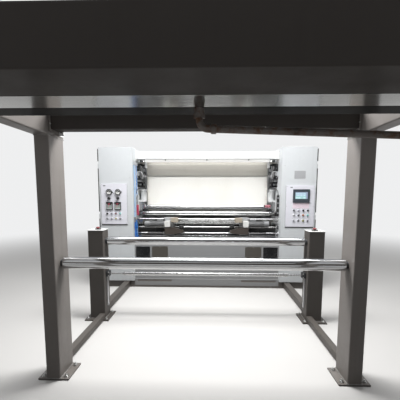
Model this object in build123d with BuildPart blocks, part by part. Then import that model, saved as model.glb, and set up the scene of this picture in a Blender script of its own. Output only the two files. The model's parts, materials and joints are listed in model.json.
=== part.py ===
from build123d import *
import os
from math import asin, atan2, degrees, sqrt

os.makedirs("parts", exist_ok=True)

# Entry end and felt unit of a fabric pre-shrinking machine, in millimetres.
# X runs to the right as the operator sees it, Y runs into the machine, Z is up.
# The origin is on the floor, under the middle of the whole line.

# Overall places along the line
overall_length = 4970.0
line_front = -overall_length / 2
line_back = overall_length / 2
cabinet_front = 601.0
cabinet_depth = 1330.0
cabinet_back = cabinet_front + cabinet_depth

# Clearances
journal_hole_gap = 2.0
running_clearance = 0.05
plate_gap = 0.3

# Rollers at the entry
roller_radius = 42.5
roller_height = 837.5
journal_radius = 17.5

# Gantry
gantry_half_width = 1016.0
gantry_length = 1195.0
gantry_height = 1918.0
gantry_post_width = 100.0
gantry_post_depth = 200.0
gantry_beam_height = 200.0
gantry_rear_beam_height = 160.0
gantry_rear_beam_depth = 100.0
gantry_rear_beam_inset = 25.0
gantry_front_beam_depth = 255.0
gantry_middle_beam_depth = 135.0
gantry_plate_depth = 155.0
gantry_plate_thickness = 4.0
gantry_plate_flange = 30.0
section_wall = 5.0
section_corner = 9.0
foot_thickness = 12.0
foot_overhang = 60.0
foot_hole_radius = 9.0
foot_hole_edge = 30.0
gantry_back = line_front + gantry_length
gantry_rear_post_front = gantry_back - gantry_post_depth
gantry_rear_axis = gantry_back - gantry_post_depth / 2
gantry_front_axis = line_front + gantry_post_depth / 2
gantry_under = gantry_height - gantry_beam_height
gantry_collar_length = 14.0
gantry_collar_radius = 25.0
gantry_roller_gap = 7.0

# Pipe under the gantry
pipe_radius = 16.85
pipe_drop = 89.0
pipe_fall = 38.0
pipe_bend = 42.0
pipe_collar_radius = 22.0
pipe_collar_length = 24.0
pipe_union_radius = 27.0
pipe_union_length = 20.0
pipe_edge = 24.0

# Feed posts with their roller
feed_half_width = 1058.0
feed_post_side = 160.0
feed_post_height = 957.5
feed_post_front = -471.0
feed_cap_thickness = 5.0
feed_cap_overhang = 3.0
feed_axis = feed_post_front + feed_post_side / 2
feed_collar_length = 18.0
feed_collar_radius = 30.0
feed_roller_gap = 10.0
tie_side = 80.0
tie_bottom = 8.0
front_tie_side = 60.0
front_tie_out = 1090.0
feed_foot_overhang = 45.0

# Thin idler roller under the feed roller
idler_radius = 19.0
idler_height = 482.0
idler_half_length = 882.0
idler_end_bevel = 12.0
idler_journal_radius = 8.0
idler_block_width = 36.0
idler_block_depth = 60.0
idler_block_height = 56.0
idler_bar_depth = 26.0
idler_bar_thickness = 12.0
idler_bar_bottom = 130.0

# Emergency stops on the feed posts
estop_head_radius = 20.0
estop_head_height = 14.0
estop_stem_radius = 11.0
estop_collar_radius = 29.0
estop_collar_height = 9.0
estop_travel = 5.0
estop_gap = 1.0
estop_rise = 12.0

# Cabinets
cabinet_half_gap = 1023.0
cabinet_width = 467.0
cabinet_height = 1970.0
cabinet_sheet = 3.0
cabinet_lip = 30.0
base_height = 120.0
door_thickness = 25.0
door_sheet = 2.5
door_seal_gap = 6.0
door_edge_gap = 2.0
side_plate_thickness = 20.0
shell_front = cabinet_front + door_thickness + door_seal_gap
cabinet_outer = cabinet_half_gap + cabinet_width
hinge_axis_out = 8.0
hinge_axis_in = 11.0
hinge_radius = 6.5
hinge_pin_radius = 3.5
hinge_knuckle = 30.0
hinge_leaf = 4.0
lower_hinge = 330.0
upper_hinge_drop = 255.0

# Base frame under the cabinets, with a guard sheet at the back
base_section = 80.0
guard_inset = 22.0
guard_sheet = 4.0
guard_top = 900.0

# Felt unit
felt_half_width = 910.0
felt_thickness = 12.0
felt_roller_radius = 75.0
felt_roller_rim = 2.5
felt_roller_half_length = 970.0
felt_journal_radius = 25.0
felt_front = 1025.0
felt_gap = 0.3
nip_height = 1120.0
top_roller_drop = 170.0
top_roller_height = cabinet_height - top_roller_drop
drum_radius = 250.0
drum_height = 1080.0
drum_wall = 12.0
drum_half_length = 965.0
drum_journal_radius = 45.0
drum_end_thickness = 16.0
drum_end_inset = 14.0
drum_hub_radius = 95.0
felt_back_radius = felt_roller_radius + felt_gap
felt_face_radius = felt_back_radius + felt_thickness
nip_axis = felt_front + felt_face_radius
nip_to_drum = felt_roller_radius + drum_radius + felt_thickness + 2 * felt_gap
drum_axis = nip_axis + sqrt(nip_to_drum**2 - (nip_height - drum_height) ** 2)
rear_roller_axis = 2 * drum_axis - nip_axis

# Flange bearings
bearing_thickness = 38.0
bearing_side = 120.0
bearing_flange = 14.0
bearing_corner = 12.0
bearing_shoulder = 6.0
bearing_bolt_radius = 9.0
bearing_bolt_height = 7.0
bearing_bolt_edge = 5.0

# Press roller on its two air cylinders
press_radius = 33.0
press_height = 1140.0
press_half_length = 915.0
press_axis = felt_front - press_radius - 0.5
press_journal_radius = 12.0
block_width = 40.0
block_depth = 50.0
block_height = 60.0
block_out = 957.0
block_blind = 4.0
press_travel = 40.0
rod_radius = 10.0
cylinder_radius = 36.0
cylinder_bore = 32.0
cylinder_cap_side = 76.0
cylinder_bottom = press_height + block_height / 2 + press_travel + 6
cylinder_length = 190.0
cylinder_cap = 28.0
tie_rod_radius = 3.0
piston_height = 18.0
piston_rise = 8.0
guide_bar_depth = 36.0
guide_bar_bottom = 925.0

# Felt guide cylinders high on the side plates
guide_cylinder_axis = 885.0
guide_cylinder_out = 972.0
guide_cylinder_radius = 19.0
guide_cylinder_length = 230.0
guide_cap_side = 44.0
guide_cap = 20.0
guide_rod_radius = 6.0
guide_rod_reach = 30.0
guide_cylinder_bottom = cabinet_height - 430.0
paddle_height = 20.0
paddle_pitch = 50.0
paddle_inner = 944.0
paddle_back = 1010.0
paddle_pin_radius = 13.0
paddle_pin_out = 966.0
paddle_pin_axis = 950.0
valve_block_front = 832.0
valve_block_depth = 24.0
valve_block_width = 36.0
valve_block_height = 228.0
edge_valve_front = 928.0
edge_valve_depth = 30.0
edge_valve_inner = 908.0
edge_valve_width = 36.0
edge_valve_height = 156.0
edge_bracket_height = 24.0
valve_width = 24.0
valve_depth = 18.0
valve_height = 92.0
valve_count = 4
valve_pitch = 20.0
valve_front = 925.0
valve_drop = 45.0
valve_cap_radius = 7.0
valve_cap_height = 26.0

# Lower guide roller
guide_radius = 35.0
guide_height = 1045.0
guide_axis = 930.0
guide_half_length = 960.0
guide_journal_radius = 14.0
guide_bearing_thickness = 26.0

# Steam box below the guide roller
steam_front = 770.0
steam_depth = 110.0
steam_bottom = 900.0
steam_top = 985.0
steam_wall = 3.0
steam_half_width = 930.0
steam_slot_pitch = 60.0
steam_slot_length = 34.0
steam_slot_width = 6.0
steam_end_front = 42.0
steam_end_back = 10.0
steam_end_edge = 20.0

# Top beam, lamp and hood
beam_front = 788.0
beam_depth = 120.0
beam_height = 106.0
beam_drop = 35.0
beam_top = cabinet_height - beam_drop
beam_bottom = beam_top - beam_height
beam_wall = 5.0
lamp_half_length = 900.0
lamp_front = 838.0
lamp_depth = 62.0
lamp_height = 34.0
lamp_side = 15.0
lamp_inset = 12.0
hood_front = 925.0
hood_drop = 170.0
hood_top = cabinet_height - hood_drop
hood_fold = hood_top - 31.0
hood_back = 1006.0
hood_bottom = hood_fold - 160.0
hood_sheet = 3.0
hood_tab = 30.0
hood_half_width = 900.0

# Stretcher in front of the felt unit
rail_axis = 735.0
rail_radius = 12.5
upper_rail_height = 975.0
lower_rail_height = 774.0
screw_height = 862.0
screw_radius = 11.0
rail_flange_radius = 28.0
rail_flange_thickness = 12.0
tie_tube_axis = 765.0
tie_tube_height = 726.0
tie_tube_radius = 20.0
screw_bearing_thickness = 16.0

# Stretcher carriages, measured for the right one
carriage_inner = 470.0
carriage_outer = 590.0
carriage_front = 706.0
carriage_back = 764.0
carriage_bottom = 752.0
carriage_top = 1000.0
boss_radius = 24.0
boss_reach = 22.0
motor_axis = 675.0
motor_height = 912.0
motor_radius = 41.0
motor_length = 285.0
motor_core = 36.0
motor_fins = 20
motor_fin_width = 3.0
motor_flange = 12.0
motor_cover = 70.0
motor_box_length = 80.0
motor_box_width = 50.0
motor_box_height = 26.0
gearbox_inset = 45.0
gearbox_chamfer = 8.0
gearbox_width = 76.0
gearbox_height = 84.0
gearbox_front = 636.0
sensor_inner = 402.0
sensor_overlap = 31.0
sensor_front_inset = 4.0
sensor_bottom = 936.0
arm_inner = 331.0
arm_front = 640.0
arm_top = 859.0
arm_bottom = 768.0
arm_tip = 34.0
arm_tip_lift = 20.0
arm_heel = 20.0
wheel_radius = 38.0
wheel_width = 26.0
wheel_out = 358.0
wheel_lift = 6.0
wheel_rim = 4.0
wheel_groove = 5.0
wheel_pin_radius = 8.0
wheel_pin_head = 4.0

# Lower front panel
panel_front = 640.0
panel_sheet = 3.0
panel_bottom = 30.0
panel_top = 700.0
panel_return = 30.0
panel_return_half = 985.0
slot_inner = 496.0
slot_length = 490.0
slot_width = 30.0
slot_heights = (98.0, 206.0)
window_inner = 797.0
window_outer = 1010.0
window_bottom = 425.0
window_top = 594.0

# Air hoses on the left side plate
hose_radius = 6.0
hose_pitch = 14.0
hose_rows = ((651.0, 4, 460.0), (772.0, 3, 1030.0))
hose_top_drop = 235.0
hose_top = cabinet_height - hose_top_drop
manifold_depth = 22.0
manifold_height = 46.0
manifold_margin = 9.0
clip_heights = (760.0, 1080.0, 1400.0)
clip_height = 12.0

# Sensor bars and valve island on the side plates, in front of the felt
sensor_bar_front = 706.0
sensor_bar_depth = 30.0
sensor_bar_width = 34.0
sensor_bar_bottom = 1020.0
sensor_bar_top = 1320.0
island_front = 752.0
island_depth = 42.0
island_width = 56.0
island_bottom = 1028.0
island_height = 46.0
island_caps = 3
island_cap_radius = 7.0
island_cap_height = 18.0

# Delivery behind the cabinets
exit_leg_side = 60.0
exit_half_width = 1023.0
exit_roller_radius = 45.0
exit_roller_height = 1010.0
exit_roller_setback = 160.0
exit_slide_low = 640.0
exit_slide_sheet = 4.0
exit_slide_lip = 40.0
exit_half_roller = 930.0
exit_arm_height = 100.0
exit_bearing_thickness = 24.0
exit_slide_gap = 25.0
exit_slide_fall = 60.0
exit_cross_height = 60.0

# Drive motor in the right cabinet and switchgear in the left one
drive_axis_height = 420.0
drive_radius = 100.0
drive_core = 90.0
drive_fins = 28
drive_fin_width = 5.0
fin_root = 2.0
drive_length = 330.0
drive_box = 220.0
drive_box_depth = 132.0
drive_box_chamfer = 18.0
gear_plate_bottom = 950.0
gear_plate_drop = 220.0
gear_plate_top = cabinet_height - gear_plate_drop
gear_plate_width = 300.0
gear_plate_setback = 80.0
gear_plate_thickness = 4.0
gear_unit_width = 72.0
gear_unit_pitch = 90.0
gear_unit_margin = 25.0
gear_row_pitch = 250.0
gear_row_start = 60.0
gear_unit_height = 160.0
gear_unit_depth = 70.0

# Control panels on the doors
left_panel_center = -1284.5
left_panel_width = 361.0
left_panel_bottom = 912.0
left_panel_top = 1475.0
right_panel_center = 1279.0
right_panel_width = 388.0
right_panel_bottom = 888.0
right_panel_top = 1454.0
panel_plate = 8.0
gauge_radius = 40.0
gauge_depth = 22.0
gauge_height = 1359.0
gauge_places = (-1349.0, -1225.0)
knob_radius = 18.0
knob_depth = 26.0
knob_height = 1273.0
knob_neck_radius = 9.0
knob_neck = 10.0
controller_width = 92.0
controller_height = 112.0
controller_middle = 1165.5
controller_places = (-1351.0, -1234.0)
controller_depth = 10.0
screen_width = 226.0
screen_height = 182.0
screen_center = 1291.5
screen_middle = 1310.0
screen_depth = 12.0
screen_border_x = 30.0
screen_border_z = 44.0
screen_shift = 8.0
screen_recess = 3.0
button_radius = 10.5
collar_radius = 15.0
collar_depth = 7.0
button_reach = 15.0
button_root = 2.0
lamp_cap = 5.0
switch_grip = 8.0
switch_grip_height = 10.0
panel_corner = 6.0
left_columns = (-1383.0, -1321.5, -1261.0, -1201.0)
left_rows = (1061.0, 992.0)
right_columns = (1197.0, 1260.0, 1323.0, 1386.0)
right_rows = (1115.0, 1050.0, 974.0)

# Values worked out from the driving dimensions
panel_face = cabinet_front - panel_plate
post_out = gantry_half_width + gantry_post_width / 2
gantry_outer = gantry_half_width + gantry_post_width
tie_middle = feed_half_width + feed_post_side / 2
side_plate_outer = cabinet_half_gap + side_plate_thickness
sides = {"left": -1, "right": 1}


def block(x, y, z, mode=Mode.ADD):
    """Add a box between two places on each axis."""
    with Locations(((x[0] + x[1]) / 2, (y[0] + y[1]) / 2, (z[0] + z[1]) / 2)):
        Box(abs(x[1] - x[0]), abs(y[1] - y[0]), abs(z[1] - z[0]), mode=mode)


def bar_x(x, y, z, radius, mode=Mode.ADD):
    """Add a round bar along X between two places."""
    with Locations(Location(((x[0] + x[1]) / 2, y, z), (0, 90, 0))):
        Cylinder(radius, abs(x[1] - x[0]), mode=mode)


def bar_y(x, y, z, radius, mode=Mode.ADD):
    """Add a round bar along Y between two places."""
    with Locations(Location((x, (y[0] + y[1]) / 2, z), (90, 0, 0))):
        Cylinder(radius, abs(y[1] - y[0]), mode=mode)


def bar_z(x, y, z, radius, mode=Mode.ADD):
    """Add a round bar along Z between two places."""
    with Locations((x, y, (z[0] + z[1]) / 2)):
        Cylinder(radius, abs(z[1] - z[0]), mode=mode)


def hollow_section(plane, width, height, length, wall=section_wall):
    """Extrude a rolled hollow section from the plane."""
    with BuildSketch(plane) as profile:
        RectangleRounded(width, height, section_corner)
        RectangleRounded(width - 2 * wall, height - 2 * wall, section_corner - wall, mode=Mode.SUBTRACT)
    extrude(profile.sketch, amount=length)


def side_plane(x, y, z):
    """A plane that looks along X, with local x on Y and local y on Z."""
    return Plane(origin=(x, y, z), x_dir=(0, 1, 0), z_dir=(1, 0, 0))


def front_plane(x, y, z):
    """A plane that faces the operator, with local x on X and local y on Z."""
    return Plane(origin=(x, y, z), x_dir=(1, 0, 0), z_dir=(0, -1, 0))


def turned(axis_y, axis_z, outline):
    """Turn an outline of (x, radius) points about an axis along X, on both ends alike."""
    points = outline + [(-x, radius) for x, radius in reversed(outline)]
    with BuildPart() as piece:
        with BuildSketch(front_plane(0, axis_y, axis_z)):
            with BuildLine():
                Polyline(*points, close=True)
            make_face()
        revolve(axis=Axis((0, axis_y, axis_z), (1, 0, 0)))
    return piece


def roller_outline(radius, half_length, journal, reach, rim=felt_roller_rim):
    """Half the outline of a roller with bevelled rims and plain journals."""
    return [
        (reach, 0),
        (reach, journal),
        (half_length, journal),
        (half_length, radius - rim),
        (half_length - rim, radius),
    ]


def save(piece, name):
    """Label a finished piece and write it."""
    piece.part.label = name
    export_step(piece.part, f"parts/{name}.step")


def finned_motor(start_plane, radius, core, fins, fin_width, length, cover):
    """Add a motor from the plane: a finned body and a plain fan cover at its far end."""
    with BuildSketch(start_plane) as body:
        Circle(core)
        with PolarLocations((core + radius) / 2 - fin_root / 2, fins):
            Rectangle(radius - core + fin_root, fin_width)
    extrude(body.sketch, amount=length - cover)
    with BuildSketch(start_plane.offset(length - cover)) as fan_cover:
        Circle(radius)
    extrude(fan_cover.sketch, amount=cover)


def foot_plate(x, y, width, depth):
    """Add a foot plate with a hole near each corner."""
    block((x - width / 2, x + width / 2), (y - depth / 2, y + depth / 2), (0, foot_thickness))
    hole_x = width / 2 - foot_hole_edge
    hole_y = depth / 2 - foot_hole_edge
    for sign_x in (-1, 1):
        for sign_y in (-1, 1):
            place = (x + sign_x * hole_x, y + sign_y * hole_y)
            bar_z(place[0], place[1], (0, foot_thickness), foot_hole_radius, Mode.SUBTRACT)


# Gantry side frames: two posts on foot plates under one side beam
gantry_foot_width = gantry_post_width + 2 * foot_overhang
for side_name, side in sides.items():
    with BuildPart() as gantry_frame:
        for post_y in (gantry_front_axis, gantry_rear_axis):
            foot_plate(side * post_out, post_y, gantry_foot_width, gantry_post_depth)
            post_plane = Plane.XY.offset(foot_thickness).move(Location((side * post_out, post_y, 0)))
            hollow_section(
                post_plane, gantry_post_width, gantry_post_depth, gantry_under - foot_thickness
            )
        beam_plane = Plane(
            origin=(side * post_out, line_front, gantry_under + gantry_beam_height / 2),
            x_dir=(1, 0, 0),
            z_dir=(0, 1, 0),
        )
        hollow_section(beam_plane, gantry_post_width, gantry_beam_height, gantry_length)
        end_x = (side * (gantry_half_width + section_wall), side * (gantry_outer - section_wall))
        for end_y in ((line_front, line_front + section_wall), (gantry_back - section_wall, gantry_back)):
            block(end_x, end_y, (gantry_under + section_wall, gantry_height - section_wall))
        inner_wall = (side * gantry_half_width, side * (gantry_half_width + section_wall))
        bar_x(inner_wall, gantry_rear_axis, roller_height, journal_radius + journal_hole_gap, Mode.SUBTRACT)
    save(gantry_frame, f"gantry_{side_name}_frame")

# Gantry cross beams between the side frames: front, middle and rear
tray_front = line_front + gantry_front_beam_depth
middle_beam_front = tray_front + gantry_plate_depth
rear_beam_front = gantry_rear_post_front + gantry_rear_beam_inset
beam_rows = (
    (line_front, gantry_front_beam_depth, gantry_beam_height),
    (middle_beam_front, gantry_middle_beam_depth, gantry_beam_height),
    (rear_beam_front, gantry_rear_beam_depth, gantry_rear_beam_height),
)
with BuildPart() as gantry_beams:
    for beam_y, beam_thick, beam_high in beam_rows:
        beam_start = side_plane(-gantry_half_width, beam_y + beam_thick / 2, gantry_height - beam_high / 2)
        hollow_section(beam_start, beam_thick, beam_high, 2 * gantry_half_width)
save(gantry_beams, "gantry_cross_beams")

# Polished tray between the front and middle beams, flush with their undersides
with BuildPart() as gantry_tray:
    with BuildSketch(side_plane(-gantry_half_width, tray_front, gantry_under)):
        with BuildLine():
            Polyline(
                (0, 0),
                (gantry_plate_depth, 0),
                (gantry_plate_depth, gantry_plate_flange),
                (gantry_plate_depth - gantry_plate_thickness, gantry_plate_flange),
                (gantry_plate_depth - gantry_plate_thickness, gantry_plate_thickness),
                (gantry_plate_thickness, gantry_plate_thickness),
                (gantry_plate_thickness, gantry_plate_flange),
                (0, gantry_plate_flange),
                close=True,
            )
        make_face()
    extrude(amount=2 * gantry_half_width)
save(gantry_tray, "gantry_plate")

# Pipe that drops from the middle beam, runs to the right and ends under the side beam
pipe_y = middle_beam_front + pipe_edge
pipe_low = gantry_under - pipe_drop
with BuildPart() as gantry_pipe:
    with BuildLine() as pipe_line:
        FilletPolyline(
            (0, pipe_y, gantry_under),
            (0, pipe_y, pipe_low),
            (post_out, pipe_y, pipe_low - pipe_fall),
            (post_out, pipe_y, gantry_under),
            radius=pipe_bend,
        )
    with BuildSketch(Plane(origin=(0, pipe_y, gantry_under), z_dir=(0, 0, -1))):
        Circle(pipe_radius)
    sweep(path=pipe_line.line)
    collar_tops = ((0, gantry_under), (post_out, gantry_under))
    for collar_x, collar_z in collar_tops:
        bar_z(collar_x, pipe_y, (collar_z - pipe_collar_length, collar_z), pipe_collar_radius)
    union_z = gantry_under - pipe_collar_length - pipe_union_length
    with BuildSketch(Plane.XY.offset(union_z).move(Location((0, pipe_y, 0)))):
        RegularPolygon(pipe_union_radius, 6)
    extrude(amount=pipe_union_length)
    run_slope = degrees(atan2(pipe_fall, post_out))
    for run_x in (pipe_bend + pipe_collar_length, post_out - pipe_bend - pipe_collar_length):
        run_z = pipe_low - pipe_fall * run_x / post_out
        with Locations(Location((run_x, pipe_y, run_z), (0, 90 + run_slope, 0))):
            Cylinder(pipe_collar_radius, pipe_collar_length)
save(gantry_pipe, "gantry_pipe")

# Gantry roller and feed roller
gantry_roller_half = gantry_half_width - gantry_collar_length - gantry_roller_gap
gantry_roller = turned(
    gantry_rear_axis,
    roller_height,
    roller_outline(roller_radius, gantry_roller_half, journal_radius, gantry_half_width + section_wall),
)
save(gantry_roller, "gantry_roller")
feed_roller_half = feed_half_width - feed_collar_length - feed_roller_gap
feed_roller = turned(
    feed_axis,
    roller_height,
    roller_outline(roller_radius, feed_roller_half, journal_radius, feed_half_width + section_wall),
)
save(feed_roller, "feed_roller")

# Feed posts, each with its cap and foot plate, and floor ties to the gantry and the base frame
feed_foot = feed_post_side + 2 * feed_foot_overhang
for side_name, side in sides.items():
    with BuildPart() as feed_frame:
        foot_plate(side * tie_middle, feed_axis, feed_foot, feed_foot)
        post_plane = Plane.XY.offset(foot_thickness).move(Location((side * tie_middle, feed_axis, 0)))
        post_length = feed_post_height - feed_cap_thickness - foot_thickness
        hollow_section(post_plane, feed_post_side, feed_post_side, post_length)
        cap_reach = feed_post_side / 2 + feed_cap_overhang
        block(
            (side * tie_middle - cap_reach, side * tie_middle + cap_reach),
            (feed_axis - cap_reach, feed_axis + cap_reach),
            (feed_post_height - feed_cap_thickness, feed_post_height),
        )
        tie_plane = Plane(
            origin=(side * tie_middle, feed_post_front + feed_post_side, tie_bottom + tie_side / 2),
            x_dir=(1, 0, 0),
            z_dir=(0, 1, 0),
        )
        hollow_section(tie_plane, tie_side, tie_side, shell_front - feed_post_front - feed_post_side)
        front_tie_plane = Plane(
            origin=(side * front_tie_out, gantry_back, tie_bottom + front_tie_side / 2),
            x_dir=(1, 0, 0),
            z_dir=(0, 1, 0),
        )
        hollow_section(front_tie_plane, front_tie_side, front_tie_side, feed_post_front - gantry_back)
        inner_wall = (side * feed_half_width, side * (feed_half_width + section_wall))
        bar_x(inner_wall, feed_axis, roller_height, journal_radius + journal_hole_gap, Mode.SUBTRACT)
        collar_z = (feed_post_height, feed_post_height + estop_collar_height)
        bar_z(side * tie_middle, feed_axis, collar_z, estop_collar_radius)
        stem_hole = (feed_post_height - feed_cap_thickness, feed_post_height + estop_collar_height)
        bar_z(
            side * tie_middle, feed_axis, stem_hole, estop_stem_radius + plate_gap, Mode.SUBTRACT
        )
    save(feed_frame, f"feed_frame_{side_name}")

# Emergency stop buttons: a domed head on a stem that sinks into the collar
estop_head_bottom = feed_post_height + estop_collar_height + estop_travel + estop_gap
dome_rise = estop_head_height / 2
dome_radius = (estop_head_radius**2 + dome_rise**2) / (2 * dome_rise)
dome_start = degrees(asin((dome_radius - dome_rise) / dome_radius))
for side_name, side in sides.items():
    with BuildPart() as estop:
        with BuildSketch(front_plane(side * tie_middle, feed_axis, estop_head_bottom)):
            with BuildLine():
                Polyline(
                    (0, estop_head_height),
                    (0, -estop_rise - estop_collar_height / 2),
                    (estop_stem_radius, -estop_rise - estop_collar_height / 2),
                    (estop_stem_radius, 0),
                    (estop_head_radius, 0),
                    (estop_head_radius, estop_head_height - dome_rise),
                )
                CenterArc((0, estop_head_height - dome_radius), dome_radius, dome_start, 90 - dome_start)
            make_face()
        revolve(axis=Axis((side * tie_middle, feed_axis, 0), (0, 0, 1)))
    save(estop, f"estop_{side_name}")

# Thin idler roller with rounded ends, in clamp blocks on the feed posts
idler_reach = feed_half_width - idler_block_width + 20
idler_roller = turned(
    feed_axis,
    idler_height,
    roller_outline(idler_radius, idler_half_length, idler_journal_radius, idler_reach, idler_end_bevel),
)
save(idler_roller, "idler_roller")
with BuildPart() as idler_brackets:
    for side in sides.values():
        block(
            (side * (feed_half_width - idler_block_width), side * feed_half_width),
            (feed_axis - idler_block_depth / 2, feed_axis + idler_block_depth / 2),
            (idler_height - idler_block_height / 2, idler_height + idler_block_height / 2),
        )
        block(
            (side * (feed_half_width - idler_bar_thickness), side * feed_half_width),
            (feed_axis - idler_bar_depth / 2, feed_axis + idler_bar_depth / 2),
            (idler_bar_bottom, idler_height - idler_block_height / 2),
        )
        bar_x(
            (side * (feed_half_width - idler_block_width), side * idler_reach),
            feed_axis,
            idler_height,
            idler_journal_radius + running_clearance,
            Mode.SUBTRACT,
        )
save(idler_brackets, "idler_brackets")

# Base frame: hollow sections under both cabinets, joined across the line
base_plane_height = base_height / 2
with BuildPart() as base_frame:
    for side in sides.values():
        for rail_x in (cabinet_half_gap + base_section / 2, cabinet_outer - base_section / 2):
            rail_plane = Plane(
                origin=(side * rail_x, shell_front, base_plane_height), x_dir=(1, 0, 0), z_dir=(0, 1, 0)
            )
            hollow_section(rail_plane, base_section, base_height, cabinet_back - shell_front)
    for cross_y in (shell_front + base_section / 2, cabinet_back - base_section / 2):
        cross_plane = side_plane(-cabinet_outer, cross_y, base_plane_height)
        hollow_section(cross_plane, base_section, base_height, 2 * cabinet_outer)
    block(
        (plate_gap - cabinet_half_gap, cabinet_half_gap - plate_gap),
        (cabinet_back - guard_inset - guard_sheet, cabinet_back - guard_inset),
        (base_height + plate_gap, guard_top),
    )
save(base_frame, "base_frame")

# Side plates that carry the rollers of the felt unit
plate_holes = (
    (nip_axis, nip_height, felt_journal_radius),
    (nip_axis, top_roller_height, felt_journal_radius),
    (rear_roller_axis, nip_height, felt_journal_radius),
    (rear_roller_axis, top_roller_height, felt_journal_radius),
    (drum_axis, drum_height, drum_journal_radius),
    (guide_axis, guide_height, guide_journal_radius),
    (rail_axis, screw_height, screw_radius),
)
plate_top = cabinet_height - cabinet_sheet
for side_name, side in sides.items():
    with BuildPart() as side_plate:
        with BuildSketch(side_plane(side * cabinet_half_gap, 0, 0)):
            with Locations(((shell_front + cabinet_back) / 2, (base_height + plate_top) / 2)):
                Rectangle(cabinet_back - shell_front, plate_top - base_height)
            for hole_y, hole_z, hole_radius in plate_holes:
                with Locations((hole_y, hole_z)):
                    Circle(hole_radius + 3, mode=Mode.SUBTRACT)
        extrude(amount=side * side_plate_thickness)
    save(side_plate, f"side_plate_{side_name}")

# Cabinets of flat panels round the side plate, open behind the door
upper_hinge = cabinet_height - upper_hinge_drop
hinge_heights = (lower_hinge, (lower_hinge + upper_hinge) / 2, upper_hinge)
panel_edge = cabinet_outer - cabinet_sheet - plate_gap
panel_back = cabinet_back - cabinet_sheet - plate_gap
panel_floor = base_height + cabinet_sheet + plate_gap
panel_ceiling = plate_top - plate_gap
for side_name, side in sides.items():
    with BuildPart() as cabinet:
        whole_z = (base_height, cabinet_height)
        panel_x = (side * side_plate_outer, side * panel_edge)
        panel_y = (shell_front, panel_back)
        outer_x = (side * (cabinet_outer - cabinet_sheet), side * cabinet_outer)
        block(outer_x, (shell_front, cabinet_back), whole_z)
        block((side * cabinet_half_gap, side * panel_edge), panel_y, (plate_top, cabinet_height))
        block(panel_x, panel_y, (base_height, base_height + cabinet_sheet))
        block(panel_x, (panel_back + plate_gap, cabinet_back), whole_z)
        frame_y = (shell_front, shell_front + cabinet_sheet)
        stile_x = (side * (cabinet_outer - cabinet_lip), side * panel_edge)
        block(stile_x, frame_y, (panel_floor, panel_ceiling))
        rail_x = (side * side_plate_outer, side * (cabinet_outer - cabinet_lip - plate_gap))
        block(rail_x, frame_y, (panel_floor, base_height + cabinet_lip))
        block(rail_x, frame_y, (cabinet_height - cabinet_lip, panel_ceiling))
        hinge_x = side * (cabinet_outer + hinge_axis_out)
        hinge_y = cabinet_front + hinge_axis_in
        for hinge_z in hinge_heights:
            leaf_z = (hinge_z, hinge_z + hinge_knuckle)
            block(
                (side * cabinet_outer, side * (cabinet_outer + hinge_leaf)),
                (hinge_y, shell_front + cabinet_lip),
                leaf_z,
            )
            block(
                (side * (cabinet_outer + hinge_leaf), hinge_x),
                (hinge_y, hinge_y + hinge_leaf),
                leaf_z,
            )
            bar_z(hinge_x, hinge_y, leaf_z, hinge_radius)
            bar_z(hinge_x, hinge_y, (hinge_z - hinge_knuckle, hinge_z), hinge_pin_radius)
    save(cabinet, f"cabinet_{side_name}")

# Doors: pressed pans with their half of the hinges
door_bottom = base_height - 20
for side_name, side in sides.items():
    with BuildPart() as door:
        door_x = (side * (cabinet_half_gap + door_edge_gap), side * cabinet_outer)
        door_y = (cabinet_front, cabinet_front + door_thickness)
        door_z = (door_bottom, cabinet_height)
        block(door_x, door_y, door_z)
        block(
            (door_x[0] + side * door_sheet, door_x[1] - side * door_sheet),
            (cabinet_front + door_sheet, door_y[1]),
            (door_bottom + door_sheet, cabinet_height - door_sheet),
            Mode.SUBTRACT,
        )
        hinge_x = side * (cabinet_outer + hinge_axis_out)
        hinge_y = cabinet_front + hinge_axis_in
        for hinge_z in hinge_heights:
            leaf_z = (hinge_z - hinge_knuckle, hinge_z - plate_gap)
            block((side * cabinet_outer, hinge_x), (hinge_y - 3, hinge_y + 3), leaf_z)
            bar_z(hinge_x, hinge_y, leaf_z, hinge_radius)
            bar_z(hinge_x, hinge_y, leaf_z, hinge_pin_radius + running_clearance, Mode.SUBTRACT)
    save(door, f"door_{side_name}")

# Felt rollers, all alike
felt_roller_places = {
    "upper_front_roller": (nip_axis, top_roller_height),
    "nip_roller": (nip_axis, nip_height),
    "lower_rear_roller": (rear_roller_axis, nip_height),
    "upper_rear_roller": (rear_roller_axis, top_roller_height),
}
for roller_name, (axis_y, axis_z) in felt_roller_places.items():
    felt_roller = turned(
        axis_y,
        axis_z,
        roller_outline(felt_roller_radius, felt_roller_half_length, felt_journal_radius, side_plate_outer),
    )
    save(felt_roller, roller_name)

# Heated cylinder: a hollow drum with end plates and large journals
drum_reach = side_plate_outer + 60
drum_inner = drum_radius - drum_wall
drum_dish = drum_half_length - drum_end_inset
drum_end = drum_dish - drum_end_thickness
with BuildPart() as heated_cylinder:
    with BuildSketch(front_plane(0, drum_axis, drum_height)):
        with BuildLine():
            Polyline(
                (-drum_reach, 0),
                (-drum_reach, drum_journal_radius),
                (-drum_half_length, drum_journal_radius),
                (-drum_half_length, drum_hub_radius),
                (-drum_dish, drum_hub_radius + drum_end_inset),
                (-drum_dish, drum_inner),
                (-drum_half_length, drum_inner),
                (-drum_half_length, drum_radius),
                (drum_half_length, drum_radius),
                (drum_half_length, drum_inner),
                (drum_dish, drum_inner),
                (drum_dish, drum_hub_radius + drum_end_inset),
                (drum_half_length, drum_hub_radius),
                (drum_half_length, drum_journal_radius),
                (drum_reach, drum_journal_radius),
                (drum_reach, 0),
                (drum_end, 0),
                (drum_end, drum_inner),
                (-drum_end, drum_inner),
                (-drum_end, 0),
                close=True,
            )
        make_face()
    revolve(axis=Axis((0, drum_axis, drum_height), (1, 0, 0)))
save(heated_cylinder, "heated_cylinder")


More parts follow.
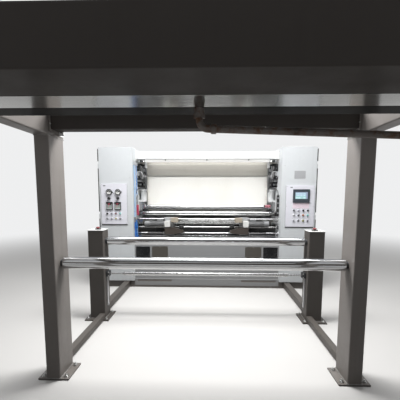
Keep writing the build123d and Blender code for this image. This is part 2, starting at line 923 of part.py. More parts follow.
def felt_line(offset):
    """One closed line of the felt, offset from the roller side of the cloth."""
    on_roller = felt_back_radius + offset
    on_drum = drum_radius + felt_gap + felt_thickness - offset
    lean = degrees(atan2(nip_height - drum_height, drum_axis - nip_axis))
    nip = (nip_axis, nip_height)
    drum = (drum_axis, drum_height)
    rear = (rear_roller_axis, nip_height)
    top_front = (nip_axis, top_roller_height)
    top_rear = (rear_roller_axis, top_roller_height)
    with BuildLine() as loop:
        Line((nip_axis - on_roller, top_roller_height), (nip_axis - on_roller, nip_height))
        CenterArc(nip, on_roller, 180, 180 - lean)
        CenterArc(drum, on_drum, 180 - lean, 2 * lean - 180)
        CenterArc(rear, on_roller, 180 + lean, 180 - lean)
        Line((rear_roller_axis + on_roller, nip_height), (rear_roller_axis + on_roller, top_roller_height))
        CenterArc(top_rear, on_roller, 0, 90)
        Line(
            (rear_roller_axis, top_roller_height + on_roller), (nip_axis, top_roller_height + on_roller)
        )
        CenterArc(top_front, on_roller, 90, 90)
    return loop


# Endless felt over four rollers and the top half of the heated cylinder
with BuildPart() as felt_blanket:
    with BuildSketch(side_plane(-felt_half_width, 0, 0)) as felt_sketch:
        add(felt_line(felt_thickness).line)
        make_face()
        with BuildSketch(mode=Mode.SUBTRACT):
            add(felt_line(0).line)
            make_face()
    extrude(amount=2 * felt_half_width)
save(felt_blanket, "felt_blanket")

# Press roller, its sliding blocks with piston rods, and the air cylinders
block_end = block_out + block_width / 2
press_roller = turned(
    press_axis,
    press_height,
    roller_outline(press_radius, press_half_length, press_journal_radius, block_end - block_blind),
)
save(press_roller, "press_roller")
piston_bottom = cylinder_bottom + cylinder_cap + piston_rise
with BuildPart() as press_carriage:
    for side in sides.values():
        block(
            (side * (block_out - block_width / 2), side * block_end),
            (press_axis - block_depth / 2, press_axis + block_depth / 2),
            (press_height - block_height / 2, press_height + block_height / 2),
        )
        bar_x(
            (side * (block_out - block_width / 2), side * (block_end - block_blind)),
            press_axis,
            press_height,
            press_journal_radius + running_clearance,
            Mode.SUBTRACT,
        )
        rod_z = (press_height + block_height / 2, piston_bottom + piston_height)
        bar_z(side * block_out, press_axis, rod_z, rod_radius)
        piston_z = (piston_bottom, piston_bottom + piston_height)
        bar_z(side * block_out, press_axis, piston_z, cylinder_bore - running_clearance)
save(press_carriage, "press_carriage")
cylinder_top = cylinder_bottom + cylinder_length
cap_half = cylinder_cap_side / 2
tie_rod_place = cap_half - tie_rod_radius - 2
guide_cylinder_top = guide_cylinder_bottom + guide_cylinder_length
guide_cap_half = guide_cap_side / 2
with BuildPart() as air_cylinders:
    for side in sides.values():
        bar_z(side * block_out, press_axis, (cylinder_bottom, cylinder_top), cylinder_radius)
        bore_z = (cylinder_bottom + cylinder_cap, cylinder_top - cylinder_cap)
        for cap_z in (cylinder_bottom, cylinder_top - cylinder_cap):
            block(
                (side * (block_out - cap_half), side * cabinet_half_gap),
                (press_axis - cap_half, press_axis + cap_half),
                (cap_z, cap_z + cylinder_cap),
            )
        for rod_x in (-tie_rod_place, tie_rod_place):
            for rod_y in (-tie_rod_place, tie_rod_place):
                bar_z(side * block_out + rod_x, press_axis + rod_y, bore_z, tie_rod_radius)
        bar_z(side * block_out, press_axis, bore_z, cylinder_bore, Mode.SUBTRACT)
        rod_hole = (cylinder_bottom, cylinder_bottom + cylinder_cap)
        bar_z(side * block_out, press_axis, rod_hole, rod_radius + running_clearance, Mode.SUBTRACT)
        block(
            (side * (block_end + plate_gap), side * cabinet_half_gap),
            (press_axis - guide_bar_depth / 2, press_axis + guide_bar_depth / 2),
            (guide_bar_bottom, cylinder_bottom - plate_gap),
        )
        barrel_z = (guide_cylinder_bottom, guide_cylinder_top)
        bar_z(side * guide_cylinder_out, guide_cylinder_axis, barrel_z, guide_cylinder_radius)
        for cap_z in (guide_cylinder_bottom, guide_cylinder_top - guide_cap):
            block(
                (side * (guide_cylinder_out - guide_cap_half), side * cabinet_half_gap),
                (guide_cylinder_axis - guide_cap_half, guide_cylinder_axis + guide_cap_half),
                (cap_z, cap_z + guide_cap),
            )
        rod_z = (guide_cylinder_bottom - guide_rod_reach, guide_cylinder_bottom)
        bar_z(side * guide_cylinder_out, guide_cylinder_axis, rod_z, guide_rod_radius)
        lower_plate_top = rod_z[0] - plate_gap - paddle_pitch
        for plate_top_z in (lower_plate_top, lower_plate_top + paddle_pitch):
            block(
                (side * paddle_inner, side * cabinet_half_gap),
                (guide_cylinder_axis - guide_cap_half, paddle_back),
                (plate_top_z - paddle_height, plate_top_z),
            )
        pin_z = (lower_plate_top + plate_gap, lower_plate_top + paddle_pitch - paddle_height - plate_gap)
        bar_z(side * paddle_pin_out, paddle_pin_axis, pin_z, paddle_pin_radius)
save(air_cylinders, "air_cylinders")

# Lower guide roller
guide_roller = turned(
    guide_axis,
    guide_height,
    roller_outline(guide_radius, guide_half_length, guide_journal_radius, side_plate_outer),
)
save(guide_roller, "guide_roller")

# Steam box with a slotted top and end plates to the side plates
with BuildPart() as steam_box:
    steam_y = (steam_front, steam_front + steam_depth)
    block((-steam_half_width, steam_half_width), steam_y, (steam_bottom, steam_top))
    block(
        (-steam_half_width + steam_wall, steam_half_width - steam_wall),
        (steam_y[0] + steam_wall, steam_y[1] - steam_wall),
        (steam_bottom + steam_wall, steam_top - steam_wall),
        Mode.SUBTRACT,
    )
    for side in sides.values():
        block(
            (side * steam_half_width, side * cabinet_half_gap),
            (steam_y[0] + steam_end_front, steam_y[1] - steam_end_back),
            (steam_bottom + steam_end_edge, steam_top - steam_end_edge),
        )
    slot_count = int(2 * (steam_half_width - steam_slot_pitch) / steam_slot_pitch)
    with BuildSketch(Plane.XY.offset(steam_top).move(Location((0, steam_front + steam_depth / 2, 0)))):
        with GridLocations(steam_slot_pitch, 1, slot_count, 1):
            SlotOverall(steam_slot_length, steam_slot_width)
    extrude(amount=-steam_wall, mode=Mode.SUBTRACT)
save(steam_box, "steam_box")

# Top beam between the side plates, with the lamp under it
with BuildPart() as top_beam:
    beam_plane = side_plane(-cabinet_half_gap, beam_front + beam_depth / 2, (beam_bottom + beam_top) / 2)
    hollow_section(beam_plane, beam_depth, beam_top - beam_bottom, 2 * cabinet_half_gap, beam_wall)
save(top_beam, "top_beam")
with BuildPart() as work_light:
    with BuildSketch(side_plane(-lamp_half_length, lamp_front, beam_bottom)):
        with BuildLine():
            Polyline(
                (0, 0),
                (lamp_depth, 0),
                (lamp_depth, -lamp_side),
                (lamp_depth - lamp_inset, -lamp_height),
                (lamp_inset, -lamp_height),
                (0, -lamp_side),
                close=True,
            )
        make_face()
    extrude(amount=2 * lamp_half_length)
save(work_light, "work_light")

# Sheet hood over the upper part of the felt, with tabs to the side plates
with BuildPart() as steam_hood:
    with BuildSketch(side_plane(-hood_half_width, 0, 0)):
        with BuildLine():
            Polyline(
                (hood_front, hood_top),
                (hood_front, hood_fold),
                (hood_back, hood_bottom),
                (hood_back + hood_sheet, hood_bottom + 1),
                (hood_front + hood_sheet, hood_fold + 1),
                (hood_front + hood_sheet, hood_top),
                close=True,
            )
        make_face()
    extrude(amount=2 * hood_half_width)
    for side in sides.values():
        block(
            (side * hood_half_width, side * cabinet_half_gap),
            (hood_front, hood_front + hood_sheet),
            (hood_fold, hood_fold + hood_tab),
        )
save(steam_hood, "steam_hood")

# Stretcher rails and tie tube, with their flanges on the side plates
with BuildPart() as stretcher_rails:
    rail_rows = (
        (rail_axis, upper_rail_height, rail_radius),
        (rail_axis, lower_rail_height, rail_radius),
        (tie_tube_axis, tie_tube_height, tie_tube_radius),
    )
    for rail_y, rail_z, radius in rail_rows:
        bar_x((-cabinet_half_gap, cabinet_half_gap), rail_y, rail_z, radius)
        for side in sides.values():
            flange_x = (side * (cabinet_half_gap - rail_flange_thickness), side * cabinet_half_gap)
            bar_x(flange_x, rail_y, rail_z, max(rail_flange_radius, radius + 6))
save(stretcher_rails, "stretcher_rails")
stretcher_screw = turned(
    rail_axis,
    screw_height,
    [
        (side_plate_outer + 20, 0),
        (side_plate_outer + 20, screw_radius - 3),
        (cabinet_half_gap - screw_bearing_thickness - 4, screw_radius - 3),
        (cabinet_half_gap - screw_bearing_thickness - 4, screw_radius),
    ],
)
save(stretcher_screw, "stretcher_screw")

# Stretcher carriages: body on the rails, finned motor, gearbox, sensor box and arm
motor_start = carriage_inner + gearbox_inset + gearbox_width
arm_foot = arm_bottom + arm_tip_lift
arm_shoulder = carriage_inner - arm_heel
for side_name, side in sides.items():
    with BuildPart() as carriage:
        body_x = (side * carriage_inner, side * carriage_outer)
        block(body_x, (carriage_front, carriage_back), (carriage_bottom, carriage_top))
        boss_x = (side * carriage_outer, side * (carriage_outer + boss_reach))
        for boss_z in (upper_rail_height, screw_height, lower_rail_height):
            bar_x(boss_x, rail_axis, boss_z, boss_radius)
        gearbox_plane = front_plane(side * (motor_start - gearbox_width / 2), carriage_front, motor_height)
        with BuildSketch(gearbox_plane):
            gearbox_face = Rectangle(gearbox_width, gearbox_height)
            chamfer(gearbox_face.vertices(), gearbox_chamfer)
        extrude(amount=carriage_front - gearbox_front)
        motor_plane = Plane(
            origin=(side * motor_start, motor_axis, motor_height), x_dir=(0, 1, 0), z_dir=(side, 0, 0)
        )
        finned_motor(
            motor_plane, motor_radius, motor_core, motor_fins, motor_fin_width, motor_length, motor_cover
        )
        flange_x = (side * motor_start, side * (motor_start + motor_flange))
        bar_x(flange_x, motor_axis, motor_height, motor_radius)
        box_start = motor_start + 2 * motor_flange
        block(
            (side * box_start, side * (box_start + motor_box_length)),
            (motor_axis - motor_box_width / 2, motor_axis + motor_box_width / 2),
            (motor_height, motor_height + motor_radius + motor_box_height),
        )
        block(
            (side * sensor_inner, side * (carriage_inner + sensor_overlap)),
            (gearbox_front + sensor_front_inset, carriage_front),
            (sensor_bottom, carriage_top),
        )
        with BuildSketch(front_plane(0, carriage_front, 0)):
            with BuildLine():
                Polyline(
                    (side * arm_inner, arm_foot),
                    (side * arm_inner, arm_foot + arm_tip),
                    (side * arm_shoulder, arm_top),
                    (side * carriage_outer, arm_top),
                    (side * carriage_outer, arm_bottom),
                    (side * arm_shoulder, arm_bottom),
                    close=True,
                )
            make_face()
        extrude(amount=carriage_front - arm_front)
        whole_x = (side * arm_shoulder, side * (carriage_outer + boss_reach))
        for bore_z in (upper_rail_height, lower_rail_height):
            bar_x(whole_x, rail_axis, bore_z, rail_radius + running_clearance, Mode.SUBTRACT)
        bar_x(whole_x, rail_axis, screw_height, screw_radius + running_clearance, Mode.SUBTRACT)
        pin_z = (arm_foot, arm_top + wheel_lift + wheel_width + wheel_pin_head)
        bar_z(side * wheel_out, motor_axis, pin_z, wheel_pin_radius)
    save(carriage, f"carriage_{side_name}")

# Grooved edge wheels that turn on the arms' pins
wheel_bottom = arm_top + wheel_lift
for side_name, side in sides.items():
    with BuildPart() as drive_wheel:
        wheel_x = side * wheel_out
        with BuildSketch(front_plane(wheel_x, motor_axis, wheel_bottom)):
            with BuildLine():
                Polyline(
                    (wheel_pin_radius + running_clearance, 0),
                    (wheel_radius - wheel_rim, 0),
                    (wheel_radius, wheel_rim),
                    (wheel_radius - wheel_groove, wheel_width / 2),
                    (wheel_radius, wheel_width - wheel_rim),
                    (wheel_radius - wheel_rim, wheel_width),
                    (wheel_pin_radius + running_clearance, wheel_width),
                    close=True,
                )
            make_face()
        revolve(axis=Axis((wheel_x, motor_axis, 0), (0, 0, 1)))
    save(drive_wheel, f"drive_wheel_{side_name}")

# Lower front panel with long slots and two windows
with BuildPart() as lower_front_panel:
    sheet_y = (panel_front, panel_front + panel_sheet)
    block((-cabinet_half_gap, cabinet_half_gap), sheet_y, (base_height, panel_top))
    block(
        (-cabinet_half_gap, cabinet_half_gap),
        (shell_front - panel_sheet, shell_front),
        (panel_bottom, base_height + panel_sheet),
    )
    block(
        (-cabinet_half_gap, cabinet_half_gap),
        (shell_front - panel_sheet, sheet_y[1]),
        (base_height, base_height + panel_sheet),
    )
    block(
        (-panel_return_half, panel_return_half),
        (panel_front, panel_front + panel_return),
        (panel_top - panel_sheet, panel_top),
    )
    for side in sides.values():
        for slot_z in slot_heights:
            block(
                (side * slot_inner, side * (slot_inner + slot_length)),
                (shell_front - 2 * panel_sheet, sheet_y[1]),
                (slot_z - slot_width / 2, slot_z + slot_width / 2),
                Mode.SUBTRACT,
            )
        block(
            (side * window_inner, side * window_outer), sheet_y, (window_bottom, window_top), Mode.SUBTRACT
        )
save(lower_front_panel, "lower_front_panel")

# Air hoses held straight down the left side plate between two manifolds
hose_x = -cabinet_half_gap + manifold_depth / 2
with BuildPart() as air_hoses:
    for first_y, hose_count, hose_bottom in hose_rows:
        for number in range(hose_count):
            bar_z(hose_x, first_y + number * hose_pitch, (hose_bottom, hose_top), hose_radius)
save(air_hoses, "air_hoses")
with BuildPart() as hose_manifolds:
    for first_y, hose_count, hose_bottom in hose_rows:
        row_y = (
            first_y - hose_radius + 1,
            first_y + (hose_count - 1) * hose_pitch + manifold_margin,
        )
        row_x = (-cabinet_half_gap, -cabinet_half_gap + manifold_depth)
        block(row_x, row_y, (hose_bottom - manifold_height, hose_bottom))
        block(row_x, row_y, (hose_top, hose_top + manifold_height))
        for clip_z in clip_heights:
            if clip_z > hose_bottom:
                clip_x = (-cabinet_half_gap, hose_x - hose_radius)
                block(clip_x, row_y, (clip_z, clip_z + clip_height))
    valve_top = guide_cylinder_top - valve_drop
    for side in sides.values():
        for number in range(valve_count):
            valve_y = valve_front + number * valve_pitch
            valve_x = (side * (cabinet_half_gap - valve_width), side * cabinet_half_gap)
            block(valve_x, (valve_y, valve_y + valve_depth), (valve_top - valve_height, valve_top))
            cap_x = side * (cabinet_half_gap - valve_width / 2)
            cap_z = (valve_top, valve_top + valve_cap_height)
            bar_z(cap_x, valve_y + valve_depth / 2, cap_z, valve_cap_radius)
        block(
            (side * (cabinet_half_gap - valve_width), side * cabinet_half_gap),
            (valve_front, valve_front + (valve_count - 1) * valve_pitch + valve_depth),
            (valve_top - valve_height - manifold_depth, valve_top - valve_height),
        )
        block(
            (side * (cabinet_half_gap - valve_block_width), side * cabinet_half_gap),
            (valve_block_front, valve_block_front + valve_block_depth),
            (guide_cylinder_bottom, guide_cylinder_bottom + valve_block_height),
        )
        edge_y = (edge_valve_front, edge_valve_front + edge_valve_depth)
        edge_bottom = hood_bottom - edge_bracket_height
        block((side * edge_valve_inner, side * cabinet_half_gap), edge_y, (edge_bottom, hood_bottom))
        block(
            (side * edge_valve_inner, side * (edge_valve_inner + edge_valve_width)),
            edge_y,
            (hood_bottom + plate_gap, hood_bottom + edge_valve_height),
        )
        block(
            (side * (cabinet_half_gap - sensor_bar_width), side * cabinet_half_gap),
            (sensor_bar_front, sensor_bar_front + sensor_bar_depth),
            (sensor_bar_bottom, sensor_bar_top),
        )
    island_x = (cabinet_half_gap - island_width, cabinet_half_gap)
    island_y = (island_front, island_front + island_depth)
    island_top = island_bottom + island_height
    block(island_x, island_y, (island_bottom, island_top))
    for number in range(island_caps):
        cap_x = island_x[0] + (number + 0.5) * island_width / island_caps
        cap_z = (island_top + plate_gap, island_top + island_cap_height)
        bar_z(cap_x, island_front + island_depth / 2, cap_z, island_cap_radius)
save(hose_manifolds, "hose_manifolds")

# Delivery frame behind the cabinets: arms, legs and a sloping slide
exit_roller_axis = cabinet_back + exit_roller_setback
with BuildPart() as exit_frame:
    for side in sides.values():
        arm_x = (side * (exit_half_width - exit_leg_side / 2), side * (exit_half_width + exit_leg_side / 2))
        arm_z = (exit_roller_height - exit_arm_height / 2, exit_roller_height + exit_arm_height / 2)
        block(arm_x, (cabinet_back, line_back), arm_z)
        block(arm_x, (line_back - exit_leg_side, line_back), (0, arm_z[0]))
    block(
        (-exit_half_width, exit_half_width),
        (line_back - exit_leg_side, line_back),
        (exit_slide_low - 2 * exit_cross_height, exit_slide_low - exit_cross_height),
    )
    slide_start = exit_roller_axis + exit_roller_radius + exit_slide_gap
    slide_reach = line_back - slide_start
    slide_drop = exit_roller_height - exit_slide_fall - exit_slide_low
    slide_half = exit_half_width - exit_leg_side / 2
    with BuildSketch(side_plane(-slide_half, slide_start, exit_slide_low)):
        with BuildLine():
            Polyline(
                (0, slide_drop),
                (slide_reach - exit_slide_lip, 0),
                (slide_reach, 0),
                (slide_reach, exit_slide_sheet),
                (slide_reach - exit_slide_lip, exit_slide_sheet),
                (0, slide_drop + exit_slide_sheet),
                close=True,
            )
        make_face()
    extrude(amount=2 * slide_half)
    block(
        (-exit_half_width, exit_half_width),
        (line_back - exit_leg_side, line_back - exit_leg_side / 2),
        (exit_slide_low - exit_cross_height, exit_slide_low),
    )
save(exit_frame, "exit_frame")
exit_roller = turned(
    exit_roller_axis,
    exit_roller_height,
    roller_outline(
        exit_roller_radius,
        exit_half_roller,
        journal_radius,
        exit_half_width - exit_leg_side / 2,
    ),
)
save(exit_roller, "exit_roller")


def flange_bearing(face_x, side, y, z, thickness, size, shaft, ring):
    """Add a flange bearing that stands inward from a face: square flange, turned housing, hexagon bolts."""
    flange = min(bearing_flange, thickness / 2)
    bolt = min(bearing_bolt_radius, ring / 2)
    shoulder = min(bearing_shoulder, (thickness - flange) / 2)
    face_plane = Plane(origin=(side * face_x, y, z), x_dir=(0, 1, 0), z_dir=(-side, 0, 0))
    with BuildSketch(face_plane) as flange_face:
        RectangleRounded(size, size, min(bearing_corner, size / 6))
    extrude(flange_face.sketch, amount=flange)
    bar_x((side * (face_x - thickness + shoulder), side * face_x), y, z, shaft + ring)
    bar_x((side * (face_x - thickness), side * face_x), y, z, shaft + ring - shoulder)
    reach = size - 2 * bolt - 2 * bearing_bolt_edge
    with BuildSketch(face_plane.offset(flange)) as bolt_heads:
        with GridLocations(reach, reach, 2, 2):
            RegularPolygon(bolt, 6)
    extrude(bolt_heads.sketch, amount=min(bearing_bolt_height, thickness - flange))
    bar_x((side * (face_x - thickness), side * face_x), y, z, shaft + running_clearance, Mode.SUBTRACT)


# All bearings: collars of gantry and feed, flange bearings of felt unit, cylinder, guide, screw and delivery
exit_arm_inner = exit_half_width - exit_leg_side / 2
collar_rows = (
    (gantry_half_width, gantry_rear_axis, gantry_collar_length, gantry_collar_radius),
    (feed_half_width, feed_axis, feed_collar_length, feed_collar_radius),
)
bearing_rows = [
    (cabinet_half_gap, drum_axis, drum_height, bearing_thickness, 190, drum_journal_radius, 24),
    (cabinet_half_gap, guide_axis, guide_height, guide_bearing_thickness, 76, guide_journal_radius, 14),
    (cabinet_half_gap, rail_axis, screw_height, screw_bearing_thickness, 52, screw_radius - 3, 10),
    (exit_arm_inner, exit_roller_axis, exit_roller_height, exit_bearing_thickness, 90, journal_radius, 16),
]
for axis_y, axis_z in felt_roller_places.values():
    bearing_rows.append(
        (cabinet_half_gap, axis_y, axis_z, bearing_thickness, bearing_side, felt_journal_radius, 18)
    )
with BuildPart() as flange_bearings:
    for side in sides.values():
        for face_x, axis_y, length, radius in collar_rows:
            collar_x = (side * (face_x - length), side * face_x)
            bar_x(collar_x, axis_y, roller_height, radius)
            bar_x(collar_x, axis_y, roller_height, journal_radius + running_clearance, Mode.SUBTRACT)
        for face_x, axis_y, axis_z, thickness, size, shaft, ring in bearing_rows:
            flange_bearing(face_x, side, axis_y, axis_z, thickness, size, shaft, ring)
save(flange_bearings, "flange_bearings")

# Drive motor with its gearbox, low in the right cabinet on the side plate
with BuildPart() as drive_motor:
    with BuildSketch(side_plane(side_plate_outer, drum_axis, drive_axis_height)):
        drive_face = Rectangle(drive_box, drive_box)
        chamfer(drive_face.vertices(), drive_box_chamfer)
    extrude(amount=drive_box_depth)
    drive_plane = front_plane(side_plate_outer + drive_radius, drum_axis - drive_box / 2, drive_axis_height)
    finned_motor(
        drive_plane, drive_radius, drive_core, drive_fins, drive_fin_width, drive_length, drive_length / 4
    )
save(drive_motor, "drive_motor")

# Switchgear on a mounting plate in the left cabinet
with BuildPart() as switchgear:
    plate_x = (-side_plate_outer - gear_plate_thickness, -side_plate_outer)
    plate_y = (shell_front + gear_plate_setback, shell_front + gear_plate_setback + gear_plate_width)
    block(plate_x, plate_y, (gear_plate_bottom, gear_plate_top))
    for row in range(3):
        row_z = gear_plate_bottom + gear_row_start + row * gear_row_pitch
        row_height = gear_unit_height - 30 * row
        row_depth = gear_unit_depth - 12 * row
        for column in range(3):
            unit_y = plate_y[0] + gear_unit_margin + column * gear_unit_pitch
            block(
                (plate_x[0] - row_depth, plate_x[0]),
                (unit_y, unit_y + gear_unit_width),
                (row_z, row_z + row_height),
            )
save(switchgear, "switchgear")

# Control panels with fixed collars for the buttons and pilot lamps
moving_controls = {
    "start_button": ("left", left_columns[0], left_rows[0]),
    "selector_switch": ("right", right_columns[0], right_rows[0]),
    "speed_button": ("right", right_columns[2], right_rows[0]),
    "stop_button": ("right", right_columns[2], right_rows[1]),
    "run_button": ("right", right_columns[3], right_rows[1]),
}
control_panels = {
    "left": (left_panel_center, left_panel_width, left_panel_bottom, left_panel_top, left_columns, left_rows),
    "right": (
        right_panel_center,
        right_panel_width,
        right_panel_bottom,
        right_panel_top,
        right_columns,
        right_rows,
    ),
}
button_spots = {(column, row) for _, column, row in moving_controls.values()}
for side_name, (center, width, low, high, columns, rows) in control_panels.items():
    with BuildPart() as control_panel:
        with BuildSketch(front_plane(center, cabinet_front, (low + high) / 2)):
            RectangleRounded(width, high - low, panel_corner)
        extrude(amount=panel_plate)
        for row in rows:
            for column in columns:
                collar_y = (panel_face - collar_depth, panel_face)
                bar_y(column, collar_y, row, collar_radius)
                if (column, row) in button_spots:
                    hole_y = (panel_face - collar_depth, cabinet_front)
                    bar_y(column, hole_y, row, button_radius + plate_gap, Mode.SUBTRACT)
                else:
                    lamp_y = (panel_face - collar_depth - lamp_cap, panel_face - collar_depth)
                    bar_y(column, lamp_y, row, button_radius)
        if side_name == "left":
            for knob_x in gauge_places:
                neck_y = (panel_face - knob_neck, panel_face)
                bar_y(knob_x, neck_y, knob_height, knob_neck_radius)
    save(control_panel, f"control_panel_{side_name}")

# Push buttons and the selector switch
for control_name, (side_name, column, row) in moving_controls.items():
    with BuildPart() as control:
        outer_y = panel_face - button_reach
        bar_y(column, (outer_y, panel_face + button_root), row, button_radius)
        if control_name == "selector_switch":
            block(
                (column - switch_grip / 2, column + switch_grip / 2),
                (outer_y - switch_grip_height, outer_y),
                (row - button_radius, row + button_radius),
            )
    save(control, control_name)

# Regulator knobs under the gauges
for side_name, knob_x in zip(sides, gauge_places):
    with BuildPart() as regulator:
        knob_face = panel_face - knob_neck - plate_gap
        bar_y(knob_x, (knob_face - knob_depth, knob_face), knob_height, knob_radius)
    save(regulator, f"regulator_knob_{side_name}")

# Pressure gauges
with BuildPart() as gauges:
    for gauge_x in gauge_places:
        bar_y(gauge_x, (panel_face - gauge_depth, panel_face), gauge_height, gauge_radius)
        face_y = (panel_face - gauge_depth, panel_face - gauge_depth + 3)
        bar_y(gauge_x, face_y, gauge_height, gauge_radius - 4, Mode.SUBTRACT)
save(gauges, "gauges")

# Temperature controllers
with BuildPart() as temperature_controllers:
    for controller_x in controller_places:
        with BuildSketch(front_plane(controller_x, panel_face, controller_middle)):
            RectangleRounded(controller_width, controller_height, 5)
        extrude(amount=controller_depth)
save(temperature_controllers, "temperature_controllers")

# Touch screen with a raised bezel
with BuildPart() as touch_screen:
    with BuildSketch(front_plane(screen_center, panel_face, screen_middle)):
        RectangleRounded(screen_width, screen_height, panel_corner)
    extrude(amount=screen_depth)
    with BuildSketch(front_plane(screen_center, panel_face - screen_depth, screen_middle + screen_shift)):
        Rectangle(screen_width - 2 * screen_border_x, screen_height - 2 * screen_border_z)
    extrude(amount=-screen_recess, mode=Mode.SUBTRACT)
save(touch_screen, "touch_screen")
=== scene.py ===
"""Looks of the fabric pre-shrinking machine, built round its CAD frame, in metres."""

import json
import math
import random
from itertools import product

import bmesh
import bpy
from mathutils import Matrix, Vector, noise


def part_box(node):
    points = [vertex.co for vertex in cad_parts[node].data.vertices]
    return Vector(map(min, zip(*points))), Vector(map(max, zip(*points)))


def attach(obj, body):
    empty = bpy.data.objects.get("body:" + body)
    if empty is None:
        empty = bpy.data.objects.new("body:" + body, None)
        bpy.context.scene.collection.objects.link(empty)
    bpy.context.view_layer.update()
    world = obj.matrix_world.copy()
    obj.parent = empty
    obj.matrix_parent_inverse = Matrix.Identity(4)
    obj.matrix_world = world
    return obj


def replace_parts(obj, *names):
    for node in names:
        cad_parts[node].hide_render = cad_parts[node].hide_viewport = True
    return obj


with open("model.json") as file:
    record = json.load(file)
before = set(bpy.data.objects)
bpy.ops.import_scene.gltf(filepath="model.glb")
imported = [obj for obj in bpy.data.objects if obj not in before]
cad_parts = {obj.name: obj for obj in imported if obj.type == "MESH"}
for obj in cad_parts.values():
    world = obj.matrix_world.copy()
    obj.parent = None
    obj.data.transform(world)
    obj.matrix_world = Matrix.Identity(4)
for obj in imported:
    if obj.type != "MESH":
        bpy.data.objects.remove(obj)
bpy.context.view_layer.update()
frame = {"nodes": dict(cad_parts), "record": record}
nodes = frame["nodes"]
record = frame["record"]
chance = random.Random(7)
SIDES = {"left": -1, "right": 1}
FRAME = next(b for b, members in record["behaviour"]["bodies"].items() if "base_frame" in members)
FRONT, REAR, ACROSS, UP = (0, -1, 0), (0, 1, 0), (1, 0, 0), (0, 0, 1)


# Geometry


def in_scene(name, data):
    """An object made of the data, linked to the scene."""
    thing = bpy.data.objects.new(name, data)
    bpy.context.scene.collection.objects.link(thing)
    return thing


def basis(axis):
    """The axis as a unit vector and two directions across it."""
    axis = Vector(axis).normalized()
    across = axis.orthogonal().normalized()
    return axis, across, axis.cross(across)


def directions(across, other, count, turn=0.0):
    """Unit vectors at even steps round an axis."""
    angles = [2 * math.pi * i / count + turn for i in range(count)]
    return [across * math.cos(angle) + other * math.sin(angle) for angle in angles]


def spoke(angle):
    """A direction in the plane of a front and the one square to it."""
    way = Vector((math.cos(angle), 0, math.sin(angle)))
    return way, Vector((-way.z, 0, way.x))


def round_rect(width, height, radius, steps=4):
    """Outline of a rectangle with round corners, about its middle."""
    points = []
    for n, (sx, sy) in enumerate(((1, 1), (-1, 1), (-1, -1), (1, -1))):
        for k in range(steps + 1):
            angle = math.pi / 2 * (n + k / steps)
            x = sx * (width / 2 - radius) + radius * math.cos(angle)
            points.append((x, sy * (height / 2 - radius) + radius * math.sin(angle)))
    return points


def mid(node):
    """Middle of a node's box."""
    low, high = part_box(node)
    return (low + high) / 2


